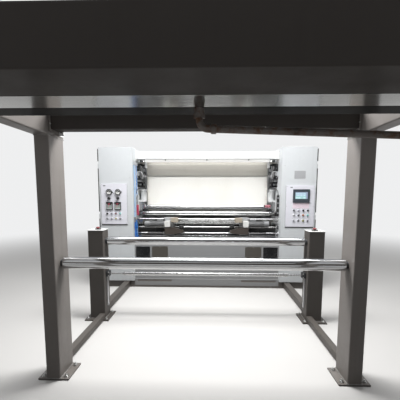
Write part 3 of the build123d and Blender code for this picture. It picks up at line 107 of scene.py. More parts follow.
class Piece:
    """A mesh built up in the frame's coordinates out of blocks, turned forms and tubes."""

    def __init__(self, name, slot, *materials, body=FRAME, bevel=0.0, smooth=38):
        self.name, self.slot, self.materials = name, slot, materials
        self.body, self.bevel, self.smooth = body, bevel, smooth
        self.points, self.faces, self.marks = [], [], []

    def add(self, points, faces, mat=0):
        start = len(self.points)
        self.points += [Vector(p) for p in points]
        self.faces += [[i + start for i in face] for face in faces]
        self.marks += [mat] * len(faces)

    def box(self, x, y, z, mat=0):
        x, y, z = sorted(x), sorted(y), sorted(z)
        points = [(a, b, c) for a in x for b in y for c in z]
        faces = [(0, 1, 3, 2), (4, 6, 7, 5), (0, 4, 5, 1), (2, 3, 7, 6), (0, 2, 6, 4), (1, 5, 7, 3)]
        self.add(points, faces, mat)

    def prism(self, outline, origin, u, v, depth, mat=0):
        """An outline in the plane of u and v, pushed along their normal."""
        origin, u, v = Vector(origin), Vector(u), Vector(v)
        push = u.cross(v).normalized() * depth
        count = len(outline)
        flat = [origin + u * a + v * b for a, b in outline]
        sides = [(i, (i + 1) % count, (i + 1) % count + count, i + count) for i in range(count)]
        caps = [tuple(range(count - 1, -1, -1)), tuple(range(count, 2 * count))]
        self.add(flat + [p + push for p in flat], sides + caps, mat)

    def plate(self, width, height, radius, place, depth, mat=0, steps=4):
        """A plate with round corners that faces the front; place is the middle of its back."""
        self.prism(round_rect(width, height, radius, steps), place, ACROSS, UP, depth, mat)

    def skin(self, rows, mat=0):
        """Faces between rings of points, with a cap on each end."""
        sides = len(rows[0])
        last = (len(rows) - 1) * sides
        faces = []
        for start in range(0, last, sides):
            for i in range(sides):
                a, b = start + i, start + (i + 1) % sides
                faces.append((a, b, b + sides, a + sides))
        faces += [tuple(range(sides - 1, -1, -1)), tuple(range(last, last + sides))]
        self.add([p for row in rows for p in row], faces, mat)

    def turned(self, origin, axis, profile, sides=28, mat=0, turn=0.0):
        """A profile of (distance along the axis, radius) turned about the axis."""
        origin = Vector(origin)
        axis, across, other = basis(axis)
        ways = directions(across, other, sides, turn)
        self.skin([[origin + axis * along + way * radius for way in ways] for along, radius in profile], mat)

    def ring(self, origin, axis, profile, sides=40, mat=0):
        """A closed profile of (distance along the axis, radius) turned about the axis."""
        origin = Vector(origin)
        axis, across, other = basis(axis)
        rows, points, faces = len(profile), [], []
        for way in directions(across, other, sides):
            points += [origin + axis * along + way * radius for along, radius in profile]
        for i in range(sides):
            here, there = i * rows, (i + 1) % sides * rows
            for row in range(rows):
                after = (row + 1) % rows
                faces.append((here + row, here + after, there + after, there + row))
        self.add(points, faces, mat)

    def rod(self, start, end, radius, sides=20, mat=0, edge=0.0):
        """A round bar; edge is the chamfer of its ends."""
        start, end = Vector(start), Vector(end)
        length = (end - start).length
        edge = min(edge, length / 3, radius / 2)
        profile = [(0, radius), (length, radius)]
        if edge:
            profile = [(0, radius - edge), (edge, radius), (length - edge, radius), (length, radius - edge)]
        self.turned(start, end - start, profile, sides, mat)

    def bead(self, corners, radius=0.004, closed=True):
        """A weld bead of uneven thickness along straight runs between corners."""
        corners = [Vector(c) for c in corners]
        ends = corners[1:] + corners[:1] if closed else corners[1:]
        for a, b in zip(corners, ends):
            steps = max(2, int((b - a).length / 0.006))
            path = [a.lerp(b, i / steps) for i in range(steps + 1)]
            across = (path[1] - path[0]).normalized().orthogonal().normalized()
            rows = []
            for i, place in enumerate(path):
                way = (path[min(i + 1, steps)] - path[max(i - 1, 0)]).normalized()
                across = (across - way * across.dot(way)).normalized()
                size = radius * (1 + 0.5 * noise.noise(place * 160))
                rows.append([place + out * size for out in directions(across, way.cross(across), 6)])
            self.skin(rows)

    def bolt(self, place, size, mat=0, axis=FRONT):
        """A hexagon head on a washer; size is the head's radius."""
        thick, high = size * 0.18, size * 0.75
        self.turned(place, axis, [(0, size * 1.25), (thick, size * 1.25), (thick, size * 0.9)], 24, mat)
        profile = [(thick, size), (thick + high * 0.8, size), (thick + high, size * 0.8)]
        self.turned(place, axis, profile, 6, mat, chance.random())

    def screw(self, place, radius, mat=0, axis=FRONT):
        """A round screw head with a recess."""
        shape = ((0, 1), (0.25, 1), (0.5, 0.7), (0.5, 0.3), (0.2, 0.22))
        self.turned(place, axis, [(radius * along, radius * out) for along, out in shape], 16, mat)

    def done(self):
        mesh = bpy.data.meshes.new(self.name)
        mesh.from_pydata([tuple(p) for p in self.points], [], self.faces)
        for material in self.materials:
            mesh.materials.append(material)
        mesh.polygons.foreach_set("material_index", self.marks)
        work = bmesh.new()
        work.from_mesh(mesh)
        bmesh.ops.recalc_face_normals(work, faces=work.faces)
        work.to_mesh(mesh)
        work.free()
        mesh.shade_smooth()
        mesh.set_sharp_from_angle(angle=math.radians(self.smooth))
        thing = in_scene(self.name, mesh)
        if self.bevel:
            edge = thing.modifiers.new("edges", "BEVEL")
            edge.width, edge.segments, edge.limit_method = self.bevel, 2, "ANGLE"
            edge.angle_limit = math.radians(40)
            edge.harden_normals = True
        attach(thing, self.body)
        return thing


# Materials


class Tree:
    """A node tree; a value that goes into it is a number, a colour or another node's socket."""

    def __init__(self, owner):
        owner.use_nodes = True
        self.nodes, self.links = owner.node_tree.nodes, owner.node_tree.links

    def node(self, kind, inputs=None, **settings):
        made = self.nodes.new("ShaderNode" + kind)
        for key, value in settings.items():
            setattr(made, key, value)
        for key, value in (inputs or {}).items():
            self.put(made.inputs[key], value)
        return made

    def put(self, socket, value):
        if isinstance(value, bpy.types.NodeSocket):
            self.links.new(value, socket)
        elif value is not None:
            socket.default_value = value

    def math(self, operation, a, b=None, c=None):
        return self.node("Math", {0: a, 1: b, 2: c}, operation=operation).outputs[0]

    def mix(self, factor, a, b):
        """A colour between a and b."""
        made = self.node("Mix", data_type="RGBA")
        for index, value in ((0, factor), (6, a), (7, b)):
            plain = index == 0 or isinstance(value, bpy.types.NodeSocket)
            self.put(made.inputs[index], value if plain else tuple(value)[:3] + (1,))
        return made.outputs[2]

    def span(self, value, low, high, to_low=0.0, to_high=1.0, **settings):
        inputs = {0: value, 1: low, 2: high, 3: to_low, 4: to_high}
        return self.node("MapRange", inputs, **settings).outputs[0]


class Finish(Tree):
    """One procedural material. Object coordinates are metres in the frame."""

    def __init__(self, name, color, rough, **sockets):
        self.material = bpy.data.materials.new(name)
        super().__init__(self.material)
        self.shader = self.nodes["Principled BSDF"]
        self.place = self.node("TexCoord").outputs["Object"]
        self.color, self.rough = tuple(color) + (1.0,), rough
        self.height = None
        for socket, value in sockets.items():
            self.shader.inputs[socket.replace("_", " ")].default_value = value

    def noise(self, scale, detail=3.0, rough=0.55, stretch=(1, 1, 1)):
        vector = self.node("Mapping", {"Vector": self.place, "Scale": stretch}).outputs[0]
        inputs = {"Vector": vector, "Scale": scale, "Detail": detail, "Roughness": rough}
        return self.node("TexNoise", inputs).outputs[0]

    def wave(self, scale, direction, **inputs):
        inputs = {"Vector": self.place, "Scale": scale, **inputs}
        return self.node("TexWave", inputs, bands_direction=direction).outputs[1]

    def blend(self, factor, a, b):
        """A number between a and b."""
        return self.math("ADD", self.math("MULTIPLY", factor, self.math("SUBTRACT", b, a)), a)

    def axis(self, index):
        return self.node("SeparateXYZ", {0: self.place}).outputs[index]

    def inside(self, x, y, z, mirror=False):
        """1 inside a box of the frame, 0 outside; mirror reads x on both sides."""
        mask = None
        for index, limits in enumerate((x, y, z)):
            value = self.axis(index)
            if index == 0 and mirror:
                value = self.math("ABSOLUTE", value)
            for operation, limit in zip(("GREATER_THAN", "LESS_THAN"), limits):
                test = self.math(operation, value, limit)
                mask = test if mask is None else self.math("MULTIPLY", mask, test)
        return mask

    def tint(self, factor, color):
        """Lays another colour over the colour so far."""
        self.color = self.mix(factor, self.color, color)

    def gloss(self, factor, rough):
        """Lays another roughness over the roughness so far."""
        self.rough = self.blend(factor, self.rough, rough)

    def lift(self, height, distance):
        """Adds a height map, in metres of height."""
        step = self.math("MULTIPLY", height, distance)
        self.height = step if self.height is None else self.math("ADD", self.height, step)

    def stain(self, grain, low, high, color, amount=1.0):
        """Patches of another colour, where a noise of the given grain is high."""
        self.tint(self.span(self.noise(*grain), low, high, 0.0, amount), color)

    def dull(self, grain, low, high, rough):
        """Patches of another roughness."""
        self.gloss(self.span(self.noise(*grain), low, high), rough)

    def relief(self, grain, distance):
        self.lift(self.noise(*grain), distance)

    def extra(self, extras):
        """Lays the parts of one slot that have their own colour and roughness over it."""
        for mask, color, rough in extras(self) if extras else ():
            self.tint(mask, color)
            self.gloss(mask, rough)

    def edges(self, radius, samples=4):
        """A normal that rounds the sharp edges."""
        return self.node("Bevel", {"Radius": radius}, samples=samples).outputs[0]

    def done(self, edge=0.0):
        normal = self.edges(edge) if edge else None
        if self.height is not None:
            inputs = {"Height": self.height, "Strength": 1.0, "Distance": 1.0, "Normal": normal}
            normal = self.node("Bump", inputs).outputs[0]
        for socket, value in (("Normal", normal), ("Base Color", self.color), ("Roughness", self.rough)):
            self.put(self.shader.inputs[socket], value)
        return self.material


def shade(color, factor, more=0.0):
    """The colour made darker or lighter."""
    return [min(1, c * factor + more) for c in color]


def worn_edge(f):
    """Chipped paint along sharp edges."""
    bent = f.edges(0.0035, 6)
    flat = f.node("NewGeometry").outputs["Normal"]
    flush = f.node("VectorMath", {0: bent, 1: flat}, operation="DOT_PRODUCT").outputs["Value"]
    edge = f.span(flush, 0.985, 0.9)
    patch = f.span(f.noise(22, 5, 0.7), 0.62, 0.67)
    f.tint(f.math("MULTIPLY", edge, patch), (0.24, 0.22, 0.2))


def grime_and_shade(f, color, amount):
    """Painted shade in corners, creases and recesses from ambient occlusion, dust towards the floor, and
    faint streaks.
    """
    # Painted shade: an ambient-occlusion mask, broken up by noise, darkens corners, creases and recesses
    # towards the given colour.
    corner = f.node("AmbientOcclusion", {"Distance": 0.06}, samples=4).outputs["AO"]
    dirt_and_shade = f.math("MULTIPLY", f.span(corner, 0.85, 0.3), f.noise(9, 4))
    f.tint(f.math("MULTIPLY", dirt_and_shade, amount), color)
    low = f.math("MULTIPLY", f.span(f.axis(2), 0.5, 0.0), f.span(f.noise(5, 5, 0.7), 0.35, 0.75))
    f.tint(f.math("MULTIPLY", low, amount * 0.9), color)
    streak = f.span(f.noise(10, 3, 0.6, (1, 1, 0.06)), 0.58, 0.8)
    f.tint(f.math("MULTIPLY", streak, amount * 0.35), color)


def enamel(name, color, rough=0.38, dirt_and_shade=(0.09, 0.075, 0.06), amount=0.5, extras=None, level=0.5):
    """Paint, uneven in tone, chipped on its edges, dusty, and with painted shade in its corners; amount is
    that of the dust and the painted shade.
    """
    f = Finish(name, color, rough, Coat_Weight=0.08, Coat_Roughness=0.2, Specular_IOR_Level=level)
    f.stain((0.9, 2), 0.3, 0.7, shade(color, 0.8), 0.22)
    f.stain((26, 3), 0.45, 0.75, shade(color, 1.15), 0.12)
    f.extra(extras)
    # Painted shade in the corners, then dust towards the floor and streaks
    grime_and_shade(f, dirt_and_shade, amount)
    worn_edge(f)
    f.dull((4, 4, 0.65), 0.4, 0.7, rough + 0.16)
    f.relief((420, 2), 0.00006)
    f.relief((6, 2), 0.0006)
    return f.done(0.0025)


def chrome(name):
    """Chromed steel with fine turning marks, dull patches and a few pits."""
    color = (0.55, 0.555, 0.56)
    f = Finish(name, color, 0.07, Metallic=1.0)
    f.stain((7, 4, 0.7), 0.5, 0.8, shade(color, 0.72), 0.4)
    f.dull((5, 5, 0.7), 0.45, 0.8, 0.19)
    f.relief((1, 2, 0.5, (900, 3, 3)), 0.00001)
    spots = f.span(f.noise(190, 2), 0.74, 0.8)
    f.tint(spots, shade(color, 0.45))
    f.gloss(spots, 0.4)
    return f.done(0.0012)


def steel(name, color, rough, stretch, extras=None):
    """Bright or brushed steel, with its grain along one axis."""
    f = Finish(name, color, rough, Metallic=1.0)
    grain = f.noise(1, 4, 0.6, stretch)
    f.gloss(f.span(grain, 0.3, 0.8), rough + 0.1)
    f.tint(f.span(grain, 0.35, 0.8, 0.0, 0.25), shade(color, 0.75))
    f.stain((3, 5, 0.7), 0.48, 0.8, shade(color, 0.55), 0.3)
    f.extra(extras)
    f.lift(grain, 0.00002)
    return f.done(0.0012)


def cast_iron(name, color=(0.05, 0.052, 0.055), rough=0.5, metallic=0.35, extras=None):
    f = Finish(name, color, rough, Metallic=metallic)
    f.stain((30, 4, 0.7), 0.4, 0.75, shade(color, 2.1), 0.6)
    f.stain((12, 5, 0.7), 0.6, 0.8, (0.02, 0.015, 0.01), 0.5)
    f.dull((16, 3), 0.5, 0.7, 0.22)
    f.extra(extras)
    f.relief((240, 4, 0.7), 0.00022)
    return f.done(0.0016)


def rusty_pipe(name):
    f = Finish(name, (0.13, 0.115, 0.105), 0.55, Metallic=0.45)
    rust = f.span(f.noise(16, 6, 0.72), 0.47, 0.62)
    f.tint(rust, (0.11, 0.055, 0.03))
    f.stain((45, 4, 0.7), 0.62, 0.75, (0.26, 0.24, 0.22))
    f.stain((7, 4), 0.6, 0.75, (0.03, 0.025, 0.022), 0.7)
    f.gloss(rust, 0.82)
    f.relief((150, 5, 0.75), 0.0004)
    f.lift(rust, 0.0002)
    return f.done(0.001)


def plastic(name, color, rough=0.4, grain=0.00004, wear=0.25, extras=None):
    """Plastic or rubber with rubbed patches; grain is the height of its fine texture."""
    f = Finish(name, color, rough)
    f.stain((11, 4, 0.65), 0.5, 0.8, shade(color, 0.6), wear)
    f.stain((60, 3, 0.7), 0.62, 0.75, shade(color, 1.35, 0.03), wear)
    f.dull((9, 4), 0.45, 0.7, rough + 0.15)
    f.extra(extras)
    f.relief((900, 2), grain)
    return f.done(0.0008)


def felt(name):
    """Thick woven wool felt with a fibrous face."""
    f = Finish(name, (0.83, 0.82, 0.78), 0.95, Sheen_Weight=0.25, Sheen_Roughness=0.6)
    f.stain((1.6, 5, 0.65, (1, 0.4, 0.4)), 0.42, 0.72, (0.7, 0.68, 0.6), 0.5)
    f.stain((240, 4, 0.7), 0.5, 0.7, (0.93, 0.92, 0.9), 0.35)
    edge = f.span(f.math("ABSOLUTE", f.axis(0)), 0.86, 0.909)
    f.tint(f.math("MULTIPLY", edge, f.span(f.noise(30, 5, 0.75), 0.35, 0.7)), (0.5, 0.47, 0.41))
    f.lift(f.wave(160.0, "X", Distortion=3.0, Detail=2.0), 0.00012)
    f.relief((700, 5, 0.8), 0.0007)
    f.relief((38, 4), 0.0009)
    return f.done()


def diffuser(name):
    """The lamp's ribbed cover, which glows a little."""
    f = Finish(name, (0.9, 0.9, 0.9), 0.35, Emission_Color=(1, 0.985, 0.95, 1), Emission_Strength=0.55)
    ribs = f.wave(40.0, "X")
    f.stain((8, 4), 0.5, 0.75, (0.75, 0.74, 0.68), 0.2)
    f.lift(ribs, 0.0012)
    f.relief((300, 2), 0.0001)
    return f.done(0.001)


def glow(name, color, strength):
    """A lit display with fine lines."""
    f = Finish(name, color, 0.25, Emission_Color=tuple(color) + (1,), Emission_Strength=strength)
    f.tint(f.span(f.wave(900.0, "Z"), 0.3, 0.9, 0.0, 0.25), shade(color, 0.6))
    f.relief((600, 1), 0.00001)
    return f.done()


def glass(name):
    f = Finish(name, (0.9, 0.93, 0.93), 0.04, Alpha=0.09, Coat_Weight=0.5, Coat_Roughness=0.03)
    f.dull((20, 4), 0.5, 0.75, 0.16)
    return f.done()


def frame_extras(f):
    """Painted light on the tops of the feed posts' caps, and a flush painted dark disc for the shade in a
    hole in each front post of the gantry.
    """
    # Painted shade: a near-black disc on the flat front of each front post stands for the shade inside a
    # hole there.
    hole_x, hole_z, hole_radius = 1.073, 0.811, 0.0145
    across = f.math("SUBTRACT", f.math("ABSOLUTE", f.axis(0)), hole_x)
    up = f.math("SUBTRACT", f.axis(2), hole_z)
    reach = f.math("ADD", f.math("MULTIPLY", across, across), f.math("MULTIPLY", up, up))
    disc = f.math("LESS_THAN", reach, hole_radius**2)
    front = f.inside((1.0, 1.15), (-2.49, -2.484), (0.79, 0.83), True)
    yield f.math("MULTIPLY", disc, front), (0.012, 0.012, 0.012), 0.7
    # Painted light: the tops of the feed post caps in pale grey, as if lit from above.
    yield f.inside((1.0, 1.3), (-0.49, -0.28), (0.9522, 0.96), True), (0.66, 0.66, 0.65), 0.3


def beam_underside_shade(f):
    """Painted shade: the underside of the middle beam in near-black, for the shadow under it."""
    yield f.inside((-1.0158, 1.0158), (-2.0765, -1.9385), (1.7, 1.7195)), (0.006, 0.0055, 0.005), 0.8


def carriage_extras(f):
    """Gearbox, sensor box, arm and body each in their own finish."""
    yield f.inside((0.0, 0.60), (0.70, 0.77), (0.75, 1.001), True), (0.42, 0.43, 0.44), 0.35
    yield f.inside((0.514, 0.5925), (0.6355, 0.7061), (0.869, 0.955), True), (0.74, 0.74, 0.72), 0.35
    yield f.inside((0.40, 0.502), (0.639, 0.7061), (0.9355, 1.001), True), (0.40, 0.35, 0.28), 0.45
    yield f.inside((0.32, 0.594), (0.6395, 0.7061), (0.767, 0.8595), True), (0.045, 0.036, 0.03), 0.5


def bearing_extras(f):
    """The bright bars under the clamps of the idler."""
    yield f.inside((1.015, 1.06), (-0.43, -0.35), (0.12, 0.453), True), (0.62, 0.62, 0.63), 0.3


def manifold_extras(f):
    """Valves, blocks and sensor bars at the ends of the felt."""
    yield f.inside((-1.03, -0.98), (0.70, 0.74), (1.022, 1.182)), (0.36, 0.02, 0.05), 0.35
    yield f.inside((0.98, 1.03), (0.82, 0.86), (1.6, 1.66), True), (0.45, 0.46, 0.47), 0.35
    yield f.inside((0.9, 1.03), (0.92, 0.962), (1.58, 1.6092), True), (0.4, 0.4, 0.41), 0.35
    yield f.inside((0.96, 1.03), (0.74, 0.8), (1.0745, 1.1), True), (0.5, 0.5, 0.5), 0.3
    yield f.inside((0.99, 1.03), (0.92, 1.01), (1.7251, 1.76), True), (0.55, 0.55, 0.55), 0.3
    yield f.inside((-1.03, -0.99), (0.64, 0.82), (0.4, 1.8)), (0.42, 0.43, 0.45), 0.4


def cylinder_extras(f):
    """Pale press cylinders, and black end caps and clamp plates on the others."""
    pale = f.inside((0.9, 1.03), (0.95, 1.035), (1.2155, 1.4065), True)
    f.put(f.shader.inputs["Metallic"], f.blend(pale, 1.0, 0.0))
    yield pale, (0.74, 0.75, 0.75), 0.34
    yield f.inside((0.9, 1.03), (0.85, 1.02), (1.43, 1.51), True), (0.012, 0.012, 0.013), 0.45
    yield f.inside((0.945, 1.03), (0.858, 0.912), (1.735, 1.775), True), (0.02, 0.02, 0.021), 0.4
    yield f.inside((0.945, 1.03), (0.858, 0.912), (1.535, 1.5615), True), (0.02, 0.02, 0.021), 0.4


def cabinet_extras(f):
    """The lower front panel between the cabinets in a darker grey."""
    yield f.inside((0.0, 1.0225), (0.62, 0.675), (0.02, 0.72), True), (0.27, 0.275, 0.28), 0.45


# For each slot of the record: the function that makes its material and what it is given
SLOTS = {
    "frame_paint": (enamel, (0.2, 0.184, 0.172), 0.4, (0.09, 0.075, 0.06), 0.5, frame_extras, 0.25),
    "cabinet_paint": (enamel, (0.66, 0.685, 0.7), 0.42, (0.3, 0.28, 0.25), 0.35, cabinet_extras),
    "white_paint": (enamel, (0.8, 0.81, 0.81), 0.4, (0.35, 0.33, 0.3), 0.3),
    "beige_paint": (enamel, (0.545, 0.525, 0.475), 0.5, (0.25, 0.23, 0.2), 0.5),
    "roller_chrome": (chrome,),
    "polished_steel": (steel, (0.45, 0.45, 0.44), 0.12, (1.5, 120, 120)),
    "bright_steel": (steel, (0.52, 0.52, 0.52), 0.22, (260, 4, 4), cylinder_extras),
    "pipe_steel": (rusty_pipe,),
    "bearing_iron": (cast_iron, (0.05, 0.052, 0.055), 0.5, 0.35, bearing_extras),
    "motor_paint": (enamel, (0.2, 0.205, 0.21), 0.36, (0.09, 0.075, 0.06), 0.6, carriage_extras),
    "felt_wool": (felt,),
    "lamp_diffuser": (diffuser,),
    "black_plastic": (plastic, (0.016, 0.016, 0.017), 0.4, 0.00004, 0.25, manifold_extras),
    "grey_plastic": (plastic, (0.26, 0.27, 0.28), 0.45),
    "panel_white": (plastic, (0.79, 0.79, 0.85), 0.42, 0.00004, 0.12),
    "gauge_face": (plastic, (0.8, 0.8, 0.78), 0.3, 0.00004, 0.1),
    "screen_bezel": (plastic, (0.05, 0.06, 0.075), 0.35),
    "red_plastic": (plastic, (0.46, 0.035, 0.035), 0.32),
    "green_plastic": (plastic, (0.04, 0.32, 0.08), 0.28),
    "orange_plastic": (plastic, (0.5, 0.24, 0.1), 0.32),
    "teal_plastic": (plastic, (0.2, 0.55, 0.5), 0.3),
    "blue_hose": (plastic, (0.035, 0.2, 0.62), 0.14, 0.00004, 0.15),
    "wheel_rubber": (plastic, (0.02, 0.02, 0.02), 0.7, 0.0002),
}
FINISH = {name: make(name, *look) for name, (make, *look) in SLOTS.items()}
grey, black, cabinet_paint = FINISH["grey_plastic"], FINISH["black_plastic"], FINISH["cabinet_paint"]
blue_hose = FINISH["blue_hose"]
yellow = plastic("yellow_plastic", (0.45, 0.4, 0.06), 0.32)
olive = plastic("olive_plastic", (0.16, 0.18, 0.05), 0.35)
light_cap = plastic("light_plastic", (0.62, 0.64, 0.66), 0.3)
brown_red = plastic("brown_red_plastic", (0.24, 0.045, 0.04), 0.32)
pale_teal = plastic("pale_teal_plastic", (0.32, 0.66, 0.62), 0.3)
purple = plastic("grey_purple_plastic", (0.2, 0.17, 0.22), 0.35)
lilac = plastic("lilac_plastic", (0.42, 0.42, 0.5), 0.35)
slate = plastic("slate_plastic", (0.3, 0.335, 0.32), 0.4)
plate_grey = plastic("bare_plate_grey", (0.42, 0.425, 0.44), 0.35, wear=0.1)
pale_hose = plastic("pale_blue_hose", (0.32, 0.52, 0.78), 0.16, wear=0.1)
white_hose = plastic("white_hose", (0.72, 0.73, 0.74), 0.25, wear=0.1)
black_hose = plastic("black_hose", (0.012, 0.012, 0.013), 0.3, wear=0.1)
zinc = steel("zinc_fixings", (0.5, 0.5, 0.49), 0.3, (90, 90, 90))
dark_fixing = cast_iron("dark_fixings", (0.03, 0.03, 0.032), 0.4, 0.6)
weld = cast_iron("painted_weld", (0.2, 0.195, 0.185), 0.45, 0.0)
cyan_glow = glow("screen_cyan", (0.42, 0.62, 0.72), 0.18)
pale_glow = glow("screen_pale", (0.6, 0.74, 0.84), 0.22)
mint_glow = glow("screen_mint", (0.4, 0.68, 0.64), 0.2)
lilac_glow = glow("screen_lilac", (0.34, 0.4, 0.56), 0.16)
red_glow = glow("digits_red", (0.95, 0.12, 0.2), 0.7)
green_glow = glow("digits_green", (0.1, 0.8, 0.25), 0.9)
lens = glass("gauge_glass")
opening_fill_shade = plastic("smoked_window", (0.01, 0.011, 0.012), 0.2, 0.0)
rubber = plastic("seal_rubber", (0.012, 0.012, 0.012), 0.75, 0.0002)

# Nodes whose look differs from that of their slot
feed_paint = enamel("feed_paint", (0.1, 0.091, 0.084), 0.45, extras=frame_extras, level=0.2)
stop_red = plastic("stop_red", (0.22, 0.03, 0.035), 0.35)
# Painted shade: the cross beams get a near-black copy of the frame paint, darker than the posts, for the
# shade they stand in.
beam_paint = enamel("beam_paint", (0.055, 0.049, 0.045), 0.62, (0.03, 0.025, 0.02), 0.4, beam_underside_shade, 0.1)
OWN = {"gantry_cross_beams": beam_paint}
for side in SIDES:
    OWN[f"feed_frame_{side}"] = feed_paint
    OWN[f"estop_{side}"] = stop_red

for part in record["subparts"]:
    for place in nodes[part["node"]].material_slots:
        place.material = OWN.get(part["node"], FINISH[part["material_slot"]])


# Floor fixings, welds and joints of the frames


WELD_Z = 0.0135
POST_INNER, POST_OUTER = 1.016, 1.116
# Where the welds of the posts run, from the front to the rear
FRONT_POST, REAR_POST = (-2.479, -2.285), (-1.49, -1.29)
BEAM_UNDER, BEAM_TOP = 1.718, 1.918


def hold_down_bolts():
    """Anchor bolts in every foot plate, from the record's bolt patterns."""
    bolts = Piece("anchor_bolts", "bright_steel", zinc)
    foot_top, head_radius, shank_radius = 0.0121, 0.0135, 0.007
    for mount in record["mounts"]:
        if mount["kind"] != "bolt_pattern":
            continue
        x, y, _ = mount["pos_m"]
        half_x, half_y = mount["dims"]["spacing_x_mm"] / 2000, mount["dims"]["spacing_y_mm"] / 2000
        for px, py in product((x - half_x, x + half_x), (y - half_y, y + half_y)):
            bolts.bolt((px, py, foot_top), head_radius, axis=UP)
            bolts.rod((px, py, 0.02), (px, py, 0.034), shank_radius, 14, edge=0.0015)
    bolts.done()


def gantry_details():
    """Welds on the posts, bolted plates at the ends of the rear and middle beam, and brackets."""
    welds = Piece("gantry_welds", "frame_paint", weld)
    plates = Piece("gantry_joint_plates", "frame_paint", FINISH["frame_paint"], zinc, bevel=0.0012)
    white = Piece("gantry_brackets", "white_paint", FINISH["white_paint"], dark_fixing, bevel=0.001)
    under = BEAM_UNDER - 0.001
    for s in SIDES.values():
        a, b = s * POST_INNER, s * POST_OUTER
        # The front post is flush with the box of the whole part, so its front stays bare
        y0, y1 = FRONT_POST
        welds.bead([(a, y0, WELD_Z), (a, y1, WELD_Z), (b, y1, WELD_Z), (b, y0, WELD_Z)], closed=False)
        welds.bead([(a, y1, under), (a, y0, under)], 0.003, closed=False)
        y0, y1 = REAR_POST
        welds.bead([(a, y0, WELD_Z), (a, y1, WELD_Z), (b, y1, WELD_Z), (b, y0, WELD_Z)])
        welds.bead([(a, y0, under), (b, y0, under)], 0.003, closed=False)
        welds.bead([(a, y1, under), (a, y0, under)], 0.003, closed=False)
        sunk, thick = 0.0005, 0.008
        x = (s * (POST_INNER - sunk), s * (POST_INNER - sunk - thick))
        plates.box(x, (-1.481, -1.349), (1.742, BEAM_TOP - 0.002))
        plates.box(x, (-2.079, -1.936), (BEAM_UNDER, BEAM_TOP - 0.002))
        for z, y in product((1.793, 1.878), (-1.474, -1.356)):
            plates.bolt((x[1], y, z), 0.0055, 1, (-s, 0, 0))
    for s in SIDES.values():
        white.box((s * 0.977, s * 1.0155), (-1.3585, -1.3535), (1.735, 1.79))
        white.box((s * 1.0115, s * 1.0155), (-1.3585, -1.295), (1.735, 1.79))
        white.bolt((s * 0.994, -1.3585, 1.762), 0.006, 1)
        white.bolt((s * 1.0115, -1.32, 1.762), 0.006, 1, (-s, 0, 0))
    for piece in (welds, plates, white):
        piece.done()


def pipe_fittings():
    """Threads where the pipe drops from the beam and beside its union."""
    y = mid("gantry_pipe").y
    fit = Piece("pipe_fittings", "pipe_steel", FINISH["pipe_steel"])
    thread = [(-0.001, 0.0165), (0, 0.0181), (0.001, 0.0165)]
    for n in range(6):
        fit.ring((0.0, y, BEAM_UNDER - 0.026 - 0.0026 * n), UP, thread, 32)
    for x in (0.24, 0.27, 0.3):
        z = 1.629 - 0.038 * (x - 0.03) / 1.036
        fit.ring((x, y, z), (1, 0, -0.0367), [(-0.0012, 0.0165), (0, 0.0182), (0.0012, 0.0165)], 32)
    fit.done()


hold_down_bolts()
gantry_details()
pipe_fittings()


# Feed posts and idler


def feed_details():
    """Rings under the emergency stops, welds of the posts and bolts of the idler's clamps."""
    stops = Piece("estop_rings", "black_plastic", black)
    seams = Piece("feed_welds", "frame_paint", weld)
    for side, s in SIDES.items():
        center = mid(f"estop_{side}")
        rim = [(0, 0.0292), (0.003, 0.0292), (0.0038, 0.0335), (0, 0.0345)]
        stops.ring((center.x, center.y, 0.9577), UP, rim)
        a, b, y0, y1, cap_z = s * 1.058, s * 1.218, -0.471, -0.311, 0.952
        for z, radius in ((WELD_Z, 0.004), (cap_z, 0.0018)):
            seams.bead([(a, y0, z), (b, y0, z), (b, y1, z), (a, y1, z)], radius)
    stops.done()
    seams.done()
    clamps = Piece("idler_clamp_bolts", "bright_steel", zinc)
    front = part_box("idler_brackets")[0].y - 0.0001
    for s, z in product(SIDES.values(), (0.502, 0.462)):
        clamps.bolt((s * 1.03, front, z), 0.0058)
    clamps.done()


feed_details()


# Felt round its rollers


FELT_ROLLERS = ["upper_front_roller", "nip_roller", "heated_cylinder"]
FELT_ROLLERS += ["lower_rear_roller", "upper_rear_roller"]


def felt_path():
    """One loop of points along the middle of the felt, from above the nip and round."""
    front_top, nip, drum, rear, rear_top = (mid(name) for name in FELT_ROLLERS)
    roller_radius, cylinder_radius, half_felt = 0.0753, 0.2503, 0.006
    radius, drum_radius = roller_radius + half_felt, cylinder_radius + half_felt
    lean = math.atan2(nip.z - drum.z, drum.y - nip.y)
    points = []

    def arc(center, size, start, sweep):
        steps = max(6, int(abs(sweep) / 0.07))
        for k in range(steps + 1):
            angle = start + sweep * k / steps
            points.append((center.y + size * math.cos(angle), center.z + size * math.sin(angle)))

    def run(a, b, steps=40):
        for k in range(1, steps):
            points.append((a[0] + (b[0] - a[0]) * k / steps, a[1] + (b[1] - a[1]) * k / steps))

    run((nip.y - radius, front_top.z), (nip.y - radius, nip.z))
    arc(nip, radius, math.pi, math.pi - lean)
    del points[-1]
    arc(drum, drum_radius, math.pi - lean, 2 * lean - math.pi)
    del points[-1]
    arc(rear, radius, math.pi + lean, math.pi - lean)
    run((rear.y + radius, rear.z), (rear.y + radius, rear_top.z))
    arc(rear_top, radius, 0, math.pi / 2)
    run((rear_top.y, rear_top.z + radius), (front_top.y, front_top.z + radius))
    arc(front_top, radius, math.pi / 2, math.pi / 2)
    return points


def felt_ring(place, out, half=0.91, thick=0.0056, across=72):
    """The felt's section at one place of its path: over the outer face, back over the inner one."""
    y, z = place
    ring = []
    for side in (1, -1):
        for k in range(across + 1):
            t = k / across if side > 0 else 1 - k / across
            x = (t * 2 - 1) * half
            rim = min(1.0, (half - abs(x)) / 0.006)
            swell = thick * (0.55 + 0.45 * math.sqrt(max(rim, 0.0)))
            if side > 0:
                swell += 0.0004 * noise.noise(Vector((x * 3, y * 3, z * 3)))
            edge = 0.0015 * noise.noise(Vector((y * 30, z * 30, side))) if rim < 0.01 else 0.0
            ring.append((x + edge * 0.5, y + out.x * swell * side, z + out.y * swell * side))
    return ring


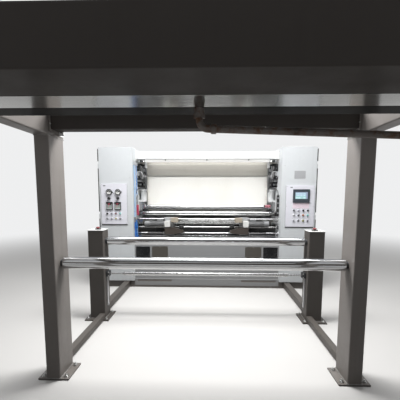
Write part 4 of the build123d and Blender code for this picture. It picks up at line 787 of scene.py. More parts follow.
def felt_band():
    """The endless felt as a closed band with a soft, slightly uneven face."""
    path = felt_path()
    count = len(path)
    piece = Piece("felt_band", "felt_wool", FINISH["felt_wool"], smooth=60)
    length = sum(math.dist(path[i], path[(i + 1) % count]) for i in range(count))
    rings = []
    for i, place in enumerate(path):
        (y0, z0), (y1, z1) = path[i - 1], path[(i + 1) % count]
        way = Vector((y1 - y0, z1 - z0)).normalized()
        rings.append(felt_ring(place, Vector((way.y, -way.x))))
    size = len(rings[0])
    faces = []
    for i in range(count):
        here, there = i * size, (i + 1) % count * size
        for k in range(size):
            after = (k + 1) % size
            faces.append((here + k, here + after, there + after, there + k))
    piece.add([p for ring in rings for p in ring], faces)
    band = piece.done()
    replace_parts(band, "felt_blanket")


felt_band()


# Doors, seals, plates and locks


def door_details():
    """Seals behind the doors, and their locks."""
    for side, s in SIDES.items():
        low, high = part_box(f"door_{side}")
        inner, outer = (high.x, low.x) if s < 0 else (low.x, high.x)
        seal = Piece(f"door_seal_{side}", "black_plastic", rubber)
        y = (0.6262, 0.6318)
        for x in ((inner + s * 0.004, inner + s * 0.016), (outer - s * 0.016, outer - s * 0.004)):
            seal.box(x, y, (low.z + 0.004, high.z - 0.004))
        for z in ((low.z + 0.004, low.z + 0.016), (high.z - 0.016, high.z - 0.004)):
            seal.box((inner + s * 0.016, outer - s * 0.016), y, z)
        seal.done()
        locks = Piece(f"door_locks_{side}", "cabinet_paint", cabinet_paint, zinc, body=f"door_{side}")
        x = inner + s * 0.035
        for z in (0.42, 1.56 if s < 0 else 1.72):
            rim = [(0, 0.0045), (0, 0.0105), (0.0018, 0.0105), (0.003, 0.009), (0.0015, 0.0045)]
            locks.ring((x, 0.6008, z), FRONT, rim, 32)
            locks.turned((x, 0.6008, z), FRONT, [(0, 0.0046), (0.0008, 0.0046)], 20, 1)
            locks.box((x - 0.003, x + 0.003), (0.5985, 0.6), (z - 0.001, z + 0.001), 1)
        locks.done()


def name_plate():
    """The bare plate above the right control panel."""
    plate = Piece("bare_plate", "grey_plastic", plate_grey, zinc, body="door_right", bevel=0.0008)
    plate.plate(0.149, 0.104, 0.006, (1.2665, 0.6008, 1.598), 0.0018)
    for x, z in product((1.2005, 1.3325), (1.554, 1.642)):
        plate.screw((x, 0.599, z), 0.0028, 1)
    plate.done()


door_details()
name_plate()


# Control panels


PANEL_Y = 0.593
GAUGE_COLUMNS, GAUGE_Z, KNOB_Z = (-1.349, -1.225), 1.359, 1.273
# Seven-segment figures, each segment by its letter
SEGMENTS = {"0": "abcdef", "1": "bc", "2": "abged", "4": "fgbc", "5": "afgcd"}


def panel_screws(side, center, width, low, high):
    """Six screws of a control panel."""
    piece = Piece(f"panel_screws_{side}", "bright_steel", zinc, body=f"door_{side}")
    inset = 0.012
    columns = (center - width / 2 + inset, center + width / 2 - inset)
    for x, z in product(columns, (low + inset, (low + high) / 2, high - inset)):
        piece.screw((x, PANEL_Y - 0.0001, z), 0.0042)
    piece.done()


def gauges():
    """Rims, dials with a scale and a needle, and glasses of the two pressure gauges."""
    body, face = "door_left", PANEL_Y - 0.022
    dials = Piece("gauge_dials", "gauge_face", FINISH["gauge_face"], black, FINISH["red_plastic"], body=body)
    bezels = Piece("gauge_bezels", "black_plastic", black, zinc, body=body)
    glasses = Piece("gauge_glasses", "gauge_face", lens, body=body)
    rim = [(-0.018, 0.0402), (-0.018, 0.041), (0.0, 0.041), (0.0035, 0.0388)]
    rim += [(0.0035, 0.0328), (0.0006, 0.0315), (0.0002, 0.0402)]
    arc = [math.radians(188 - 196 * k / 26) for k in range(27)]
    for n, x in enumerate(GAUGE_COLUMNS):
        place = (x, face, GAUGE_Z)
        bezels.ring(place, FRONT, rim, 56)
        bezels.plate(0.009, 0.014, 0.003, (x + 0.0445, PANEL_Y - 0.001, GAUGE_Z), 0.012)
        bezels.screw((x + 0.0445, PANEL_Y - 0.013, GAUGE_Z), 0.0026, 1)
        dials.turned(place, FRONT, [(0.0002, 0.0315), (0.0007, 0.0315)], 48)
        for a, b in zip(arc, arc[1:]):
            corners = ((0.0295, a), (0.0295, b), (0.0075, b), (0.0075, a))
            band = [(radius * math.cos(angle), radius * math.sin(angle)) for radius, angle in corners]
            dials.prism(band, (x, face - 0.0007, GAUGE_Z), ACROSS, UP, 0.0002, 1)
        for k in range(23):
            inner, wide = (0.021, 0.0007) if k % 5 == 0 else (0.0245, 0.0004)
            tick = [(inner, -wide), (0.0285, -wide), (0.0285, wide), (inner, wide)]
            mark = 0 if k < 18 else 2
            dials.prism(tick, (x, face - 0.0009, GAUGE_Z), *spoke(math.radians(196 - 9.6 * k)), 0.0002, mark)
        needle = [(-0.011, -0.0013), (-0.011, 0.0013), (0.024, 0.0)]
        way = spoke(math.radians(140 - 55 * n))
        dials.prism(needle, (x, face - 0.0013, GAUGE_Z), *way, 0.0004, 1 if n else 2)
        dials.turned(place, FRONT, [(0.0007, 0.0042), (0.0022, 0.0034)], 20, 1)
        glasses.turned(place, FRONT, [(0.0026, 0.0328), (0.0031, 0.0328)], 48)
    for piece in (dials, bezels, glasses):
        piece.done()


def knobs():
    """Ribs, front face and pointer of the two regulator knobs."""
    rib = [(0.0175, -0.0012), (0.019, -0.0007), (0.019, 0.0007), (0.0175, 0.0012)]
    for side, x in zip(SIDES, GAUGE_COLUMNS):
        body = f"regulator_knob_{side}"
        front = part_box(body)[0].y
        piece = Piece(f"regulator_ribs_{side}", "black_plastic", black, grey, body=body, bevel=0.0004)
        for n in range(20):
            piece.prism(rib, (x, front + 0.017, KNOB_Z), *spoke(2 * math.pi * n / 20), 0.014)
        face = [(0, 0.0125), (0.001, 0.0125), (0.0014, 0.011)]
        piece.turned((x, front + 0.0002, KNOB_Z), FRONT, face, 32)
        piece.box((x - 0.0008, x + 0.0008), (front - 0.0012, front - 0.002), (1.2765, 1.284), 1)
        piece.done()


def panel_mark():
    """The bare place of a mark in the corner of the left panel."""
    mark = Piece("panel_marks", "grey_plastic", grey, body="door_left")
    mark.plate(0.032, 0.016, 0.003, (-1.417, PANEL_Y, 1.446), 0.0006)
    mark.done()


def digits(piece, text, x, z, high, y, mat):
    """Seven-segment figures."""
    wide, bar = high * 0.5, high * 0.11
    for n, figure in enumerate(text):
        left = x + n * wide * 1.5
        right, middle, top = left + wide, z + high / 2, z + high
        level = (left + bar, right - bar)
        upper, lower = (middle + bar / 2, top - bar), (z + bar, middle - bar / 2)
        spots = {
            "a": (level, (top - bar, top)),
            "b": ((right - bar, right), upper),
            "c": ((right - bar, right), lower),
            "d": (level, (z, z + bar)),
            "e": ((left, left + bar), lower),
            "f": ((left, left + bar), upper),
            "g": (level, (middle - bar / 2, middle + bar / 2)),
        }
        for segment in SEGMENTS[figure]:
            xs, zs = spots[segment]
            piece.box(xs, (y, y - 0.0004), zs, mat)


def controllers():
    """Fronts of the two temperature controllers: display, keys, lamps and figures."""
    looks = (black, slate, red_glow, green_glow, light_cap)
    meters = Piece("controller_fronts", "black_plastic", *looks, body="door_left", bevel=0.0005)
    face, z = PANEL_Y - 0.010, 1.1655
    front = face - 0.0026
    for x, high, low in ((-1.351, "120", "125"), (-1.234, "124", "120")):
        meters.plate(0.09, 0.11, 0.005, (x, face, z), 0.002)
        meters.plate(0.083, 0.075, 0.002, (x - 0.003, face - 0.002, z - 0.0075), 0.0006, 1)
        meters.plate(0.056, 0.022, 0.002, (x, front, z + 0.024), 0.0004)
        for n in range(4):
            meters.plate(0.0125, 0.0095, 0.002, (x - 0.0275 + n * 0.0183, front, z - 0.034), 0.0012, 4)
        for n in range(3):
            dot = [(0, 0.002), (0.0006, 0.0016)]
            meters.turned((x - 0.02 + n * 0.02, front, z - 0.018), FRONT, dot, 14, 2 if n == 0 else 3)
        digits(meters, high, x - 0.025, z + 0.02, 0.0175, face - 0.003, 2)
        digits(meters, low, x - 0.016, z - 0.004, 0.009, front, 2)
    meters.done()


GREY, BLACK, BROWN, TEAL, LIGHT, YELLOW, ORANGE, PALE, OLIVE, PURPLE, LILAC, ZINC = range(12)
CAP_STOCK = [grey, black, brown_red, FINISH["teal_plastic"], light_cap, yellow]
CAP_STOCK += [FINISH["orange_plastic"], pale_teal, olive, purple, lilac, zinc]
# For each panel: columns, rows and for each control its cap and its collar
CONTROLS = {
    "left": (
        (-1.383, -1.3215, -1.261, -1.201),
        (1.061, 0.992),
        (
            ((BLACK, BLACK), (GREY, LILAC), (BROWN, GREY), (PALE, TEAL)),
            ((GREY, GREY), (LILAC, LIGHT), (YELLOW, LIGHT), (GREY, PURPLE)),
        ),
    ),
    "right": (
        (1.197, 1.26, 1.323, 1.386),
        (1.115, 1.05, 0.974),
        (
            ((GREY, GREY), (LILAC, LIGHT), (BLACK, BLACK), (BLACK, BLACK)),
            ((LIGHT, ZINC), (BLACK, GREY), (ORANGE, BROWN), (PALE, TEAL)),
            ((GREY, LIGHT), (BLACK, GREY), (OLIVE, YELLOW), (PURPLE, GREY)),
        ),
    ),
}
MOVING_CONTROLS = ("start_button", "selector_switch", "speed_button", "stop_button", "run_button")


def cap(piece, x, z, mat, y=PANEL_Y - 0.012, radius=0.0108):
    """The domed cap of a button or lamp."""
    dome = [(0, radius * 0.92), (0.0015, radius * 0.92), (0.0028, radius * 0.75), (0.003, radius * 0.4)]
    piece.turned((x, y, z), FRONT, dome, 28, mat)


def collar(piece, x, z, mat):
    """The ring round a button or lamp."""
    rim = [(0, 0.0112), (0, 0.0152), (0.0012, 0.015), (0.0022, 0.0135), (0.0016, 0.0112)]
    piece.ring((x, PANEL_Y - 0.0068, z), FRONT, rim, 32, mat)


def caps():
    """Colour caps, collars and bare legend plates of the controls."""
    centers = {name: mid(name) for name in MOVING_CONTROLS}
    for side, (columns, rows, table) in CONTROLS.items():
        fixed = Piece(f"control_caps_{side}", "grey_plastic", *CAP_STOCK, body=f"door_{side}")
        plates = Piece(f"legend_plates_{side}", "panel_white", light_cap, body=f"door_{side}")
        spots = [(x, z, *look) for z, looks in zip(rows, table) for x, look in zip(columns, looks)]
        for x, z, own_mat, ring_mat in spots:
            collar(fixed, x, z, ring_mat)
            plates.plate(0.034, 0.008, 0.0015, (x, PANEL_Y, z + 0.0235), 0.0006, steps=3)
            owner = [name for name, m in centers.items() if abs(m.x - x) < 0.004 and abs(m.z - z) < 0.004]
            if not owner:
                cap(fixed, x, z, own_mat)
                continue
            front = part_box(owner[0])[0].y
            own = Piece(f"{owner[0]}_cap", "grey_plastic", *CAP_STOCK, body=owner[0])
            if owner[0] == "selector_switch":
                own.plate(0.0024, 0.013, 0.001, (x, front, z), 0.0004, LIGHT, 2)
            else:
                cap(own, x, z, own_mat, front + 0.0002)
            own.done()
        fixed.done()
        plates.done()


def panel_shadows():
    """Black strips between each control panel and its door: a wider one under the panel as a painted shadow,
    and thin dark edges at its sides.
    """
    for side in SIDES:
        low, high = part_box(f"control_panel_{side}")
        piece = Piece(f"panel_shadow_strip_{side}", "black_plastic", rubber, body=f"door_{side}", bevel=0.0006)
        # Painted shadow: a black strip under the panel's lower edge, where the panel's shadow falls on the
        # door.
        piece.box((low.x + 0.002, high.x - 0.002), (0.5945, 0.6005), (low.z - 0.012, low.z - 0.0003))
        for x in ((low.x - 0.0022, low.x - 0.0003), (high.x + 0.0003, high.x + 0.0022)):
            piece.box(x, (0.5975, 0.6005), (low.z, high.z))
        piece.done()


def bare_label():
    """The bare places of a label between the screen and the buttons and of a mark in the corner."""
    white = plastic("label_white", (0.86, 0.72, 0.8), 0.45, wear=0.1)
    piece = Piece("bare_label", "panel_white", white, grey, body="door_right")
    piece.plate(0.222, 0.079, 0.003, (1.29, PANEL_Y, 1.1785), 0.0005)
    piece.plate(0.03, 0.016, 0.003, (1.157, PANEL_Y, 1.427), 0.0006, 1)
    piece.done()


def screen():
    """The display in its recess: a bar of headings, fields and a row of keys, without any text."""
    low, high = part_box("touch_screen")
    body = "door_right"
    x0, x1, z0, z1 = low.x + 0.0305, high.x - 0.0305, low.z + 0.0525, high.z - 0.0365
    face = low.y + 0.0028
    show = Piece("screen_image", "screen_bezel", cyan_glow, pale_glow, mint_glow, lilac_glow, body=body)
    show.box((x0, x1), (face, face - 0.0006), (z0, z1))
    y = face - 0.0006
    show.box((x0, x1), (y, y - 0.0003), (z1 - 0.011, z1), 3)
    show.box((x0, x1), (y, y - 0.0002), (z0, z0 + 0.034), 2)
    show.box((x1 - 0.022, x1), (y - 0.0002, y - 0.0004), (z0, z1 - 0.011), 3)
    for row, column in product(range(2), range(3)):
        left, bottom = x0 + 0.008 + column * 0.044, z0 + 0.04 + row * 0.021
        show.box((left, left + 0.036), (y, y - 0.0003), (bottom, bottom + 0.014), 1)
        bar = (left + 0.004, left + 0.02 + 0.006 * row)
        show.box(bar, (y - 0.0003, y - 0.0005), (bottom + 0.005, bottom + 0.008), 3)
    for n in range(4):
        left = x0 + 0.006 + n * 0.034
        key = 1 if n != 2 else 0
        show.box((left, left + 0.028), (y - 0.0002, y - 0.0005), (z0 + 0.006, z0 + 0.022), key)
    show.done()
    keys = Piece("screen_keys", "screen_bezel", FINISH["screen_bezel"], green_glow, body=body, bevel=0.0004)
    for n in range(6):
        keys.plate(0.02, 0.008, 0.002, (low.x + 0.04 + n * 0.029, low.y, low.z + 0.02), 0.001, steps=3)
    keys.turned((high.x - 0.012, low.y, high.z - 0.014), FRONT, [(0, 0.0018), (0.0005, 0.0014)], 12, 1)
    keys.done()


panel_screws("left", -1.2845, 0.361, 0.912, 1.475)
gauges()
knobs()
panel_mark()
controllers()
panel_screws("right", 1.279, 0.388, 0.888, 1.454)
caps()
panel_shadows()
bare_label()
screen()


# Between the cabinets


def lamp_and_hood():
    """Ends and clips of the lamp, rivets of the hood and bolted flanges of the top beam."""
    low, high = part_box("work_light")
    ends = Piece("lamp_ends", "grey_plastic", grey, zinc, bevel=0.0015)
    for s in SIDES.values():
        x = (s * high.x, s * (high.x + 0.012))
        ends.box(x, (low.y - 0.002, high.y + 0.002), (low.z - 0.002, high.z - 0.0003))
        ends.screw((x[1], (low.y + high.y) / 2, low.z + 0.017), 0.004, 1, (s, 0, 0))
    for x in (-0.6, 0.0, 0.6):
        y = (low.y - 0.0025, high.y + 0.0025)
        ends.box((x - 0.012, x + 0.012), y, (high.z - 0.016, high.z - 0.0003))
    ends.done()
    hood = Piece("hood_rivets", "bright_steel", zinc)
    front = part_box("steam_hood")[0].y - 0.0001
    for k in range(13):
        hood.screw((-0.87 + 0.145 * k, front, 1.785), 0.004)
    hood.done()
    flanges = Piece("beam_flanges", "white_paint", FINISH["white_paint"], zinc, bevel=0.001)
    low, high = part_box("top_beam")
    for s in SIDES.values():
        x = (s * 1.0225, s * 1.0145)
        flanges.box(x, (low.y - 0.02, high.y + 0.02), (low.z - 0.018, high.z + 0.018))
        for y, z in product((low.y - 0.011, high.y + 0.011), (low.z - 0.006, high.z + 0.006)):
            flanges.bolt((x[1], y, z), 0.006, 1, (-s, 0, 0))
    flanges.done()


def lower_panel_openings():
    """Near-black sheets in frames, a painted shade for the dark openings of the lower panel, with brown
    plates beside them and screws above.
    """
    piece = Piece("panel_windows", "black_plastic", opening_fill_shade, cabinet_paint, zinc, bevel=0.001)
    brown = plastic("plate_brown", (0.075, 0.068, 0.058), 0.4)
    plate = Piece("panel_plates", "grey_plastic", brown, zinc, bevel=0.001)
    x0, x1, z0, z1, rim = 0.797, 1.010, 0.425, 0.594, 0.006
    y = (0.6398, 0.6385)
    for s in SIDES.values():
        # Painted shade: a near-black sheet fills each opening, where the inside is in shade.
        piece.box((s * x0, s * x1), (0.6435, 0.6465), (z0, z1))
        for edge in (x0, x1):
            piece.box((s * (edge - rim), s * (edge + rim)), y, (z0 - rim, z1 + rim), 1)
        for z in (z0, z1):
            piece.box((s * (x0 + rim), s * (x1 - rim)), y, (z - rim, z + rim), 1)
        plate.box((s * 0.547, s * 0.775), (0.6398, 0.6375), (0.43, 0.593))
        for px, pz in product((0.557, 0.661, 0.765), (0.44, 0.583)):
            plate.screw((s * px, 0.6375, pz), 0.004, 1)
        for n in range(7):
            piece.screw((s * (0.12 + 0.14 * n), 0.6399, 0.685), 0.0045, 2)
    piece.done()
    plate.done()


lamp_and_hood()
lower_panel_openings()


# Air hoses and the fittings beside the felt


def hose(name, points, diameter, length, material):
    """A hose on one smooth line through its points."""
    data = bpy.data.curves.new(name, "CURVE")
    data.dimensions = "3D"
    data.bevel_depth, data.bevel_resolution, data.resolution_u, data.use_fill_caps = diameter / 2, 3, 8, True
    line = data.splines.new("NURBS")
    line.points.add(len(points) - 1)
    for place, point in zip(line.points, points):
        place.co = (*point, 1.0)
    line.order_u = 3
    line.use_endpoint_u = True
    data.materials.append(material)
    thing = in_scene(name, data)
    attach(thing, FRAME)
    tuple(points[0])
    return thing


def fittings(piece, points, radius):
    """A push-in fitting at each end of a hose: hexagon, sleeve and release ring."""
    shapes = (
        ((0, 2.0), (0.005, 2.0), (0.006, 1.8)),
        ((0.006, 1.75), (0.013, 1.75), (0.0145, 1.5)),
        ((0.0145, 1.45), (0.0165, 1.6), (0.018, 1.3)),
    )
    for place, toward in ((points[0], points[1]), (points[-1], points[-2])):
        way = (Vector(toward) - Vector(place)).normalized()
        for mat, shape in enumerate(shapes):
            profile = [(along, radius * out) for along, out in shape]
            piece.turned(place, way, profile, 20 if mat else 6, mat)


def sleeve(half_length, inner, outer):
    """Profile of a plain ring."""
    return [(-half_length, inner), (-half_length, outer), (half_length, outer), (half_length, inner)]


# Held hoses on the left side plate: y, how far each swings, colour, whether it goes on below its union
PLATE_HOSES = (
    (0.651, 0.006, pale_hose, True),
    (0.665, -0.005, pale_hose, True),
    (0.679, 0.005, white_hose, True),
    (0.693, -0.006, pale_hose, True),
    (0.772, 0.006, blue_hose, False),
    (0.786, -0.005, white_hose, False),
    (0.8, 0.006, pale_hose, False),
)


def plate_hoses():
    """The held hoses with their ties, their unions and the blue hoses that go on below."""
    ties = Piece("hose_ties", "black_plastic", black, zinc)
    x, top, union = -1.0155, 1.735, 0.955
    for n, (y, swing, material, long) in enumerate(PLATE_HOSES):
        points = [(x, y, top), (x, y, top - 0.045)]
        for k, z in enumerate((1.6, 1.5, 1.4, 1.28, 1.16)):
            points.append((x + 0.002 + abs(swing) * 0.5, y + (swing if k % 2 else -swing), z))
        low = union + 0.01 if long else 1.03
        points += [(x, y, low + 0.05), (x, y, low)]
        made = hose(f"plate_hose_{n + 1}", points, 0.007, top - low + 0.001, material)
        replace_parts(made, "air_hoses")
        for z in (1.08, 1.4):
            ties.ring((x + 0.003, y, z + 0.006), UP, sleeve(0.003, 0.0042, 0.0054), 16)
        if not long:
            continue
        ties.rod((x, y, union - 0.02), (x, y, union + 0.02), 0.006, 20, edge=0.001)
        ties.ring((x, y, union), UP, sleeve(0.002, 0.0058, 0.0066), 20, 1)
        out = 0.005 + 0.004 * (n % 3)
        points = [(x, y, union - 0.01), (x, y, union - 0.04)]
        for k, z in enumerate((0.87, 0.82, 0.765, 0.7, 0.63)):
            aside = 0.009 if (k + n // 2) % 2 else -0.007
            points.append((x + (out if (k + n) % 2 else 0.004), y + aside, z))
        points += [(x, y, 0.52), (x, y, 0.46)]
        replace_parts(hose(f"lower_hose_{n + 1}", points, 0.009, 0.49, blue_hose), "air_hoses")
    ties.done()


def loop_hoses():
    """Loose blue hoses from a distributor to outlets on the lower manifold."""
    blocks = Piece("hose_outlets", "black_plastic", grey, zinc, bevel=0.0008)
    blocks.box((-1.0228, -0.987), (0.6345, 0.6405), (0.985, 1.01))
    blocks.box((-1.006, -0.987), (0.6405, 0.688), (0.985, 1.01))
    blocks.box((-1.001, -0.983), (0.6445, 0.6935), (0.422, 0.456))
    for x in (-1.0165, -0.993):
        blocks.bolt((x, 0.6345, 0.9975), 0.004, 1)
    blocks.done()
    ends = Piece("loop_fittings", "bright_steel", zinc, black, lilac)
    routes = (
        (blue_hose, 0.536, [
            (-0.9965, 0.65, 0.985), (-0.9965, 0.65, 0.955), (-0.99, 0.648, 0.92), (-0.984, 0.646, 0.875),
            (-0.984, 0.645, 0.83), (-0.99, 0.646, 0.785), (-0.984, 0.647, 0.74), (-0.966, 0.648, 0.7),
            (-0.968, 0.65, 0.65), (-0.99, 0.652, 0.59), (-0.992, 0.652, 0.51), (-0.992, 0.652, 0.456),
        ]),
        (pale_hose, 0.535, [
            (-0.9965, 0.664, 0.985), (-0.9965, 0.664, 0.95), (-0.996, 0.663, 0.905), (-0.987, 0.661, 0.86),
            (-0.983, 0.66, 0.81), (-0.989, 0.661, 0.765), (-0.985, 0.663, 0.725), (-0.968, 0.665, 0.685),
            (-0.972, 0.667, 0.635), (-0.99, 0.668, 0.58), (-0.992, 0.668, 0.51), (-0.992, 0.668, 0.456),
        ]),
        (blue_hose, 0.534, [
            (-0.9965, 0.678, 0.985), (-0.9965, 0.678, 0.96), (-0.985, 0.677, 0.915), (-0.983, 0.676, 0.87),
            (-0.992, 0.676, 0.82), (-0.985, 0.677, 0.77), (-0.984, 0.679, 0.725), (-0.97, 0.681, 0.685),
            (-0.976, 0.683, 0.63), (-0.991, 0.684, 0.57), (-0.992, 0.684, 0.51), (-0.992, 0.684, 0.456),
        ]),
    )
    for n, (material, length, points) in enumerate(routes):
        hose(f"loop_hose_{n + 1}", points, 0.008, length, material)
        fittings(ends, points, 0.0033)
    ends.done()


def side_hoses():
    """Hoses between valves and cylinders, alike on both sides."""
    ends = Piece("hose_fittings", "bright_steel", zinc, black, lilac)
    routes = (
        ("valve_hose", black_hose, 0.006, 0.271, [
            (0.972, 0.859, 1.752), (0.972, 0.83, 1.752), (0.962, 0.795, 1.748), (0.932, 0.776, 1.71),
            (0.942, 0.768, 1.655), (0.985, 0.774, 1.634), (1.003, 0.8, 1.64), (1.003, 0.832, 1.64),
        ]),
        ("lift_hose", black_hose, 0.006, 0.279, [
            (0.972, 0.859, 1.55), (0.972, 0.832, 1.55), (0.952, 0.805, 1.56), (0.926, 0.79, 1.602),
            (0.932, 0.782, 1.65), (0.965, 0.78, 1.695), (0.998, 0.798, 1.705), (1.003, 0.832, 1.7),
        ]),
        ("return_hose", white_hose, 0.007, 0.345, [
            (1.003, 0.832, 1.575), (1.003, 0.8, 1.575), (1.008, 0.762, 1.598), (0.99, 0.752, 1.645),
            (0.94, 0.756, 1.656), (0.912, 0.768, 1.608), (0.918, 0.79, 1.566), (0.936, 0.828, 1.55),
            (0.953, 0.86, 1.55),
        ]),
        ("edge_hose", black_hose, 0.006, 0.458, [
            (0.926, 0.928, 1.735), (0.926, 0.906, 1.735), (0.914, 0.876, 1.715), (0.902, 0.858, 1.65),
            (0.912, 0.85, 1.57), (0.9, 0.85, 1.49), (0.906, 0.866, 1.42), (0.918, 0.9, 1.388),
            (0.93, 0.93, 1.384), (0.93, 0.9535, 1.384),
        ]),
        ("press_hose", black_hose, 0.009, 0.355, [
            (0.912, 0.9535, 1.365), (0.912, 0.93, 1.365), (0.9, 0.89, 1.385), (0.896, 0.85, 1.42),
            (0.92, 0.81, 1.432), (0.955, 0.775, 1.425), (0.99, 0.742, 1.4), (1.006, 0.722, 1.36),
            (1.006, 0.721, 1.32),
        ]),
    )
    for side, s in SIDES.items():
        for name, material, size, length, right in routes:
            points = [(s * x, y, z) for x, y, z in right]
            hose(f"{name}_{side}", points, size, length, material)
            fittings(ends, points, size / 2)
    ends.done()


def valve_details():
    """Brackets, connectors and screws on valves, sensor bars and cylinders."""
    white = Piece("hood_brackets", "white_paint", FINISH["white_paint"], zinc, bevel=0.0008)
    small = Piece("valve_details", "grey_plastic", grey, zinc, light_cap, bevel=0.0004)
    for s in SIDES.values():
        white.box((s * 0.885, s * 0.919), (0.9185, 0.9225), (1.714, 1.8285))
        white.box((s * 0.847, s * 0.919), (0.9015, 0.9225), (1.8245, 1.8285))
        for z in (1.73, 1.76):
            white.bolt((s * 0.902, 0.9185, z), 0.005, 1)
        for z in (1.07, 1.14, 1.21, 1.28) if s > 0 else (1.21, 1.28):
            small.box((s * 0.994, s * 1.018), (0.7055, 0.7015), (z - 0.012, z + 0.012))
            small.turned((s * 1.006, 0.7015, z), FRONT, [(0, 0.006), (0.004, 0.006), (0.005, 0.0045)], 20, 1)
        for z in (1.56, 1.6, 1.72, 1.752):
            small.screw((s * 1.005, 0.8319, z), 0.003, 1)
        for y in (0.934, 0.954, 0.974, 0.994):
            small.box((s * 0.9985, s * 0.9965), (y - 0.006, y + 0.006), (1.645, 1.665), 2)
            plug = [(0, 0.0035), (0.002, 0.0035), (0.0025, 0.002)]
            small.turned((s * 0.9985, y, 1.69), (-s, 0, 0), plug, 16, 1)
        for z in (1.624, 1.734):
            small.bolt((s * 0.926, 0.9279, z), 0.004, 1)
        small.box((s * 0.912, s * 0.94), (0.9279, 0.9245), (1.662, 1.7))
        for z, x in product((1.2245, 1.3755), (0.916, 0.978)):
            small.bolt((s * x, 0.9534, z), 0.0055, 1)
    small.done()
    white.done()


def sensor_parts():
    """Crimson cover on the left sensor bar, rails on the guide cylinders, red block on the right slide."""
    crimson = plastic("crimson_cover", (0.42, 0.02, 0.06), 0.35)
    cover = Piece("sensor_cover", "red_plastic", crimson, zinc, bevel=0.0012)
    cover.box((-0.9985, -0.974), (0.7025, 0.738), (1.035, 1.178))
    for z in (1.05, 1.163):
        cover.screw((-0.986, 0.7024, z), 0.0035, 1)
    cover.done()
    rails = Piece("sensor_rails", "black_plastic", black, light_cap, bevel=0.0008)
    for s in SIDES.values():
        rails.box((s * 0.9915, s * 1.0045), (0.866, 0.894), (1.5625, 1.734))
        for z in (1.6, 1.7):
            rails.box((s * 0.994, s * 1.002), (0.8625, 0.866), (z - 0.014, z + 0.014), 1)
    rails.done()
    looks = (plastic("pale_red_block", (0.7, 0.29, 0.35), 0.4), black, brown_red)
    block = Piece("slide_block", "red_plastic", *looks, body="press_carriage", bevel=0.0008)
    block.box((0.87, 0.952), (0.9535, 0.9595), (1.137, 1.172))
    block.box((0.856, 0.8705), (0.952, 0.9595), (1.132, 1.174), 1)
    for x in (0.885, 0.911, 0.937):
        block.screw((x, 0.9534, 1.1545), 0.0085, 2)
    block.done()


def curtain():
    """Rubber splash curtain under the steam box, in front of the dark inside."""
    piece = Piece("splash_curtain", "black_plastic", rubber, zinc, bevel=0.0006)
    strip, gap = 0.25, 0.001
    for n in range(8):
        left = -1.0 + strip * n
        piece.box((left + gap, left + strip - gap), (0.8, 0.803), (0.7, 0.8985))
        for x in (left + 0.06, left + 0.19):
            piece.screw((x, 0.7999, 0.888), 0.004, 1)
    piece.done()


plate_hoses()
loop_hoses()
side_hoses()
valve_details()
sensor_parts()
curtain()


# Door edges, switchgear and drive inside the cabinets


def edge_seals():
    """Black seals on the hinge side of both doors, open at the hinges."""
    for side, s in SIDES.items():
        seal = Piece(f"edge_seal_{side}", "black_plastic", rubber, body=f"door_{side}", bevel=0.0012)
        for low, high in ((0.135, 0.296), (0.394, 0.9885), (1.0865, 1.681), (1.779, 1.945)):
            seal.box((s * 1.4872, s * 1.5036), (0.6015, 0.6056), (low, high))
        seal.done()


def switchgear_details():
    """Fronts, terminals, toggles and slotted ducts on the mounting plate."""
    low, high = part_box("switchgear")
    face = high.x - 0.004
    piece = Piece("switchgear_fronts", "grey_plastic", grey, black, zinc, light_cap, bevel=0.0005)
    for row in range(3):
        base, height = low.z + 0.06 + 0.25 * row, 0.16 - 0.03 * row
        front = face - 0.07 + 0.012 * row
        for column in range(3):
            y = low.y + 0.061 + 0.09 * column
            label = (base + 0.3 * height, base + 0.7 * height)
            piece.box((front - 0.006, front), (y - 0.03, y + 0.03), label, 1)
            toggle = (base + 0.43 * height, base + 0.57 * height)
            piece.box((front - 0.013, front - 0.006), (y - 0.007, y + 0.007), toggle, 3)
            for z in (base + 0.13 * height, base + 0.87 * height):
                piece.box((front - 0.003, front), (y - 0.031, y + 0.031), (z - 0.008, z + 0.008), 3)
                for step in (-0.02, 0.0, 0.02):
                    piece.screw((front - 0.003, y + step, z), 0.0042, 2, (-1, 0, 0))
        piece.box((face - 0.036, face), (low.y + 0.008, high.y - 0.008), (base - 0.045, base - 0.013))
        for slot in range(13):
            y = low.y + 0.02 + 0.0217 * slot
            # Painted shade: thin black boxes on the duct stand for the shade in its slots.
            piece.box((face - 0.0368, face - 0.036), (y - 0.003, y + 0.003), (base - 0.04, base - 0.018), 1)
    piece.done()


def drive_details():
    """Fan guard, terminal box and bolts of the drive."""
    center = Vector((1.143, 1.0075, 0.42))
    guard = Piece("drive_fan_guard", "motor_paint", FINISH["motor_paint"], black, zinc, bevel=0.0004)
    guard.turned(center, FRONT, [(0, 0.086), (0.002, 0.086)], 40, 1)
    for radius in (0.018, 0.034, 0.05, 0.066, 0.082):
        inner, outer = radius - 0.002, radius + 0.002
        guard.ring(center, FRONT, [(0.002, inner), (0.006, inner), (0.006, outer), (0.002, outer)], 40)
    hub = center + Vector((0, -0.0045, 0))
    for k in range(6):
        way = spoke(math.pi * k / 3)[0]
        guard.rod(hub + way * 0.016, hub + way * 0.083, 0.002, 8)
    guard.box((1.1, 1.186), (1.11, 1.21), (0.515, 0.556))
    guard.box((1.097, 1.189), (1.107, 1.213), (0.556, 0.564))
    for x, y in product((1.105, 1.181), (1.115, 1.205)):
        guard.screw((x, y, 0.564), 0.004, 2, UP)
    guard.rod((1.186, 1.16, 0.535), (1.206, 1.16, 0.535), 0.011, 20, 1, 0.002)
    for y, z in product((1.358, 1.537), (0.335, 0.505)):
        guard.bolt((1.175, y, z), 0.007, 2, ACROSS)
    guard.done()


edge_seals()
switchgear_details()
drive_details()


# Outer sides and back of the cabinets


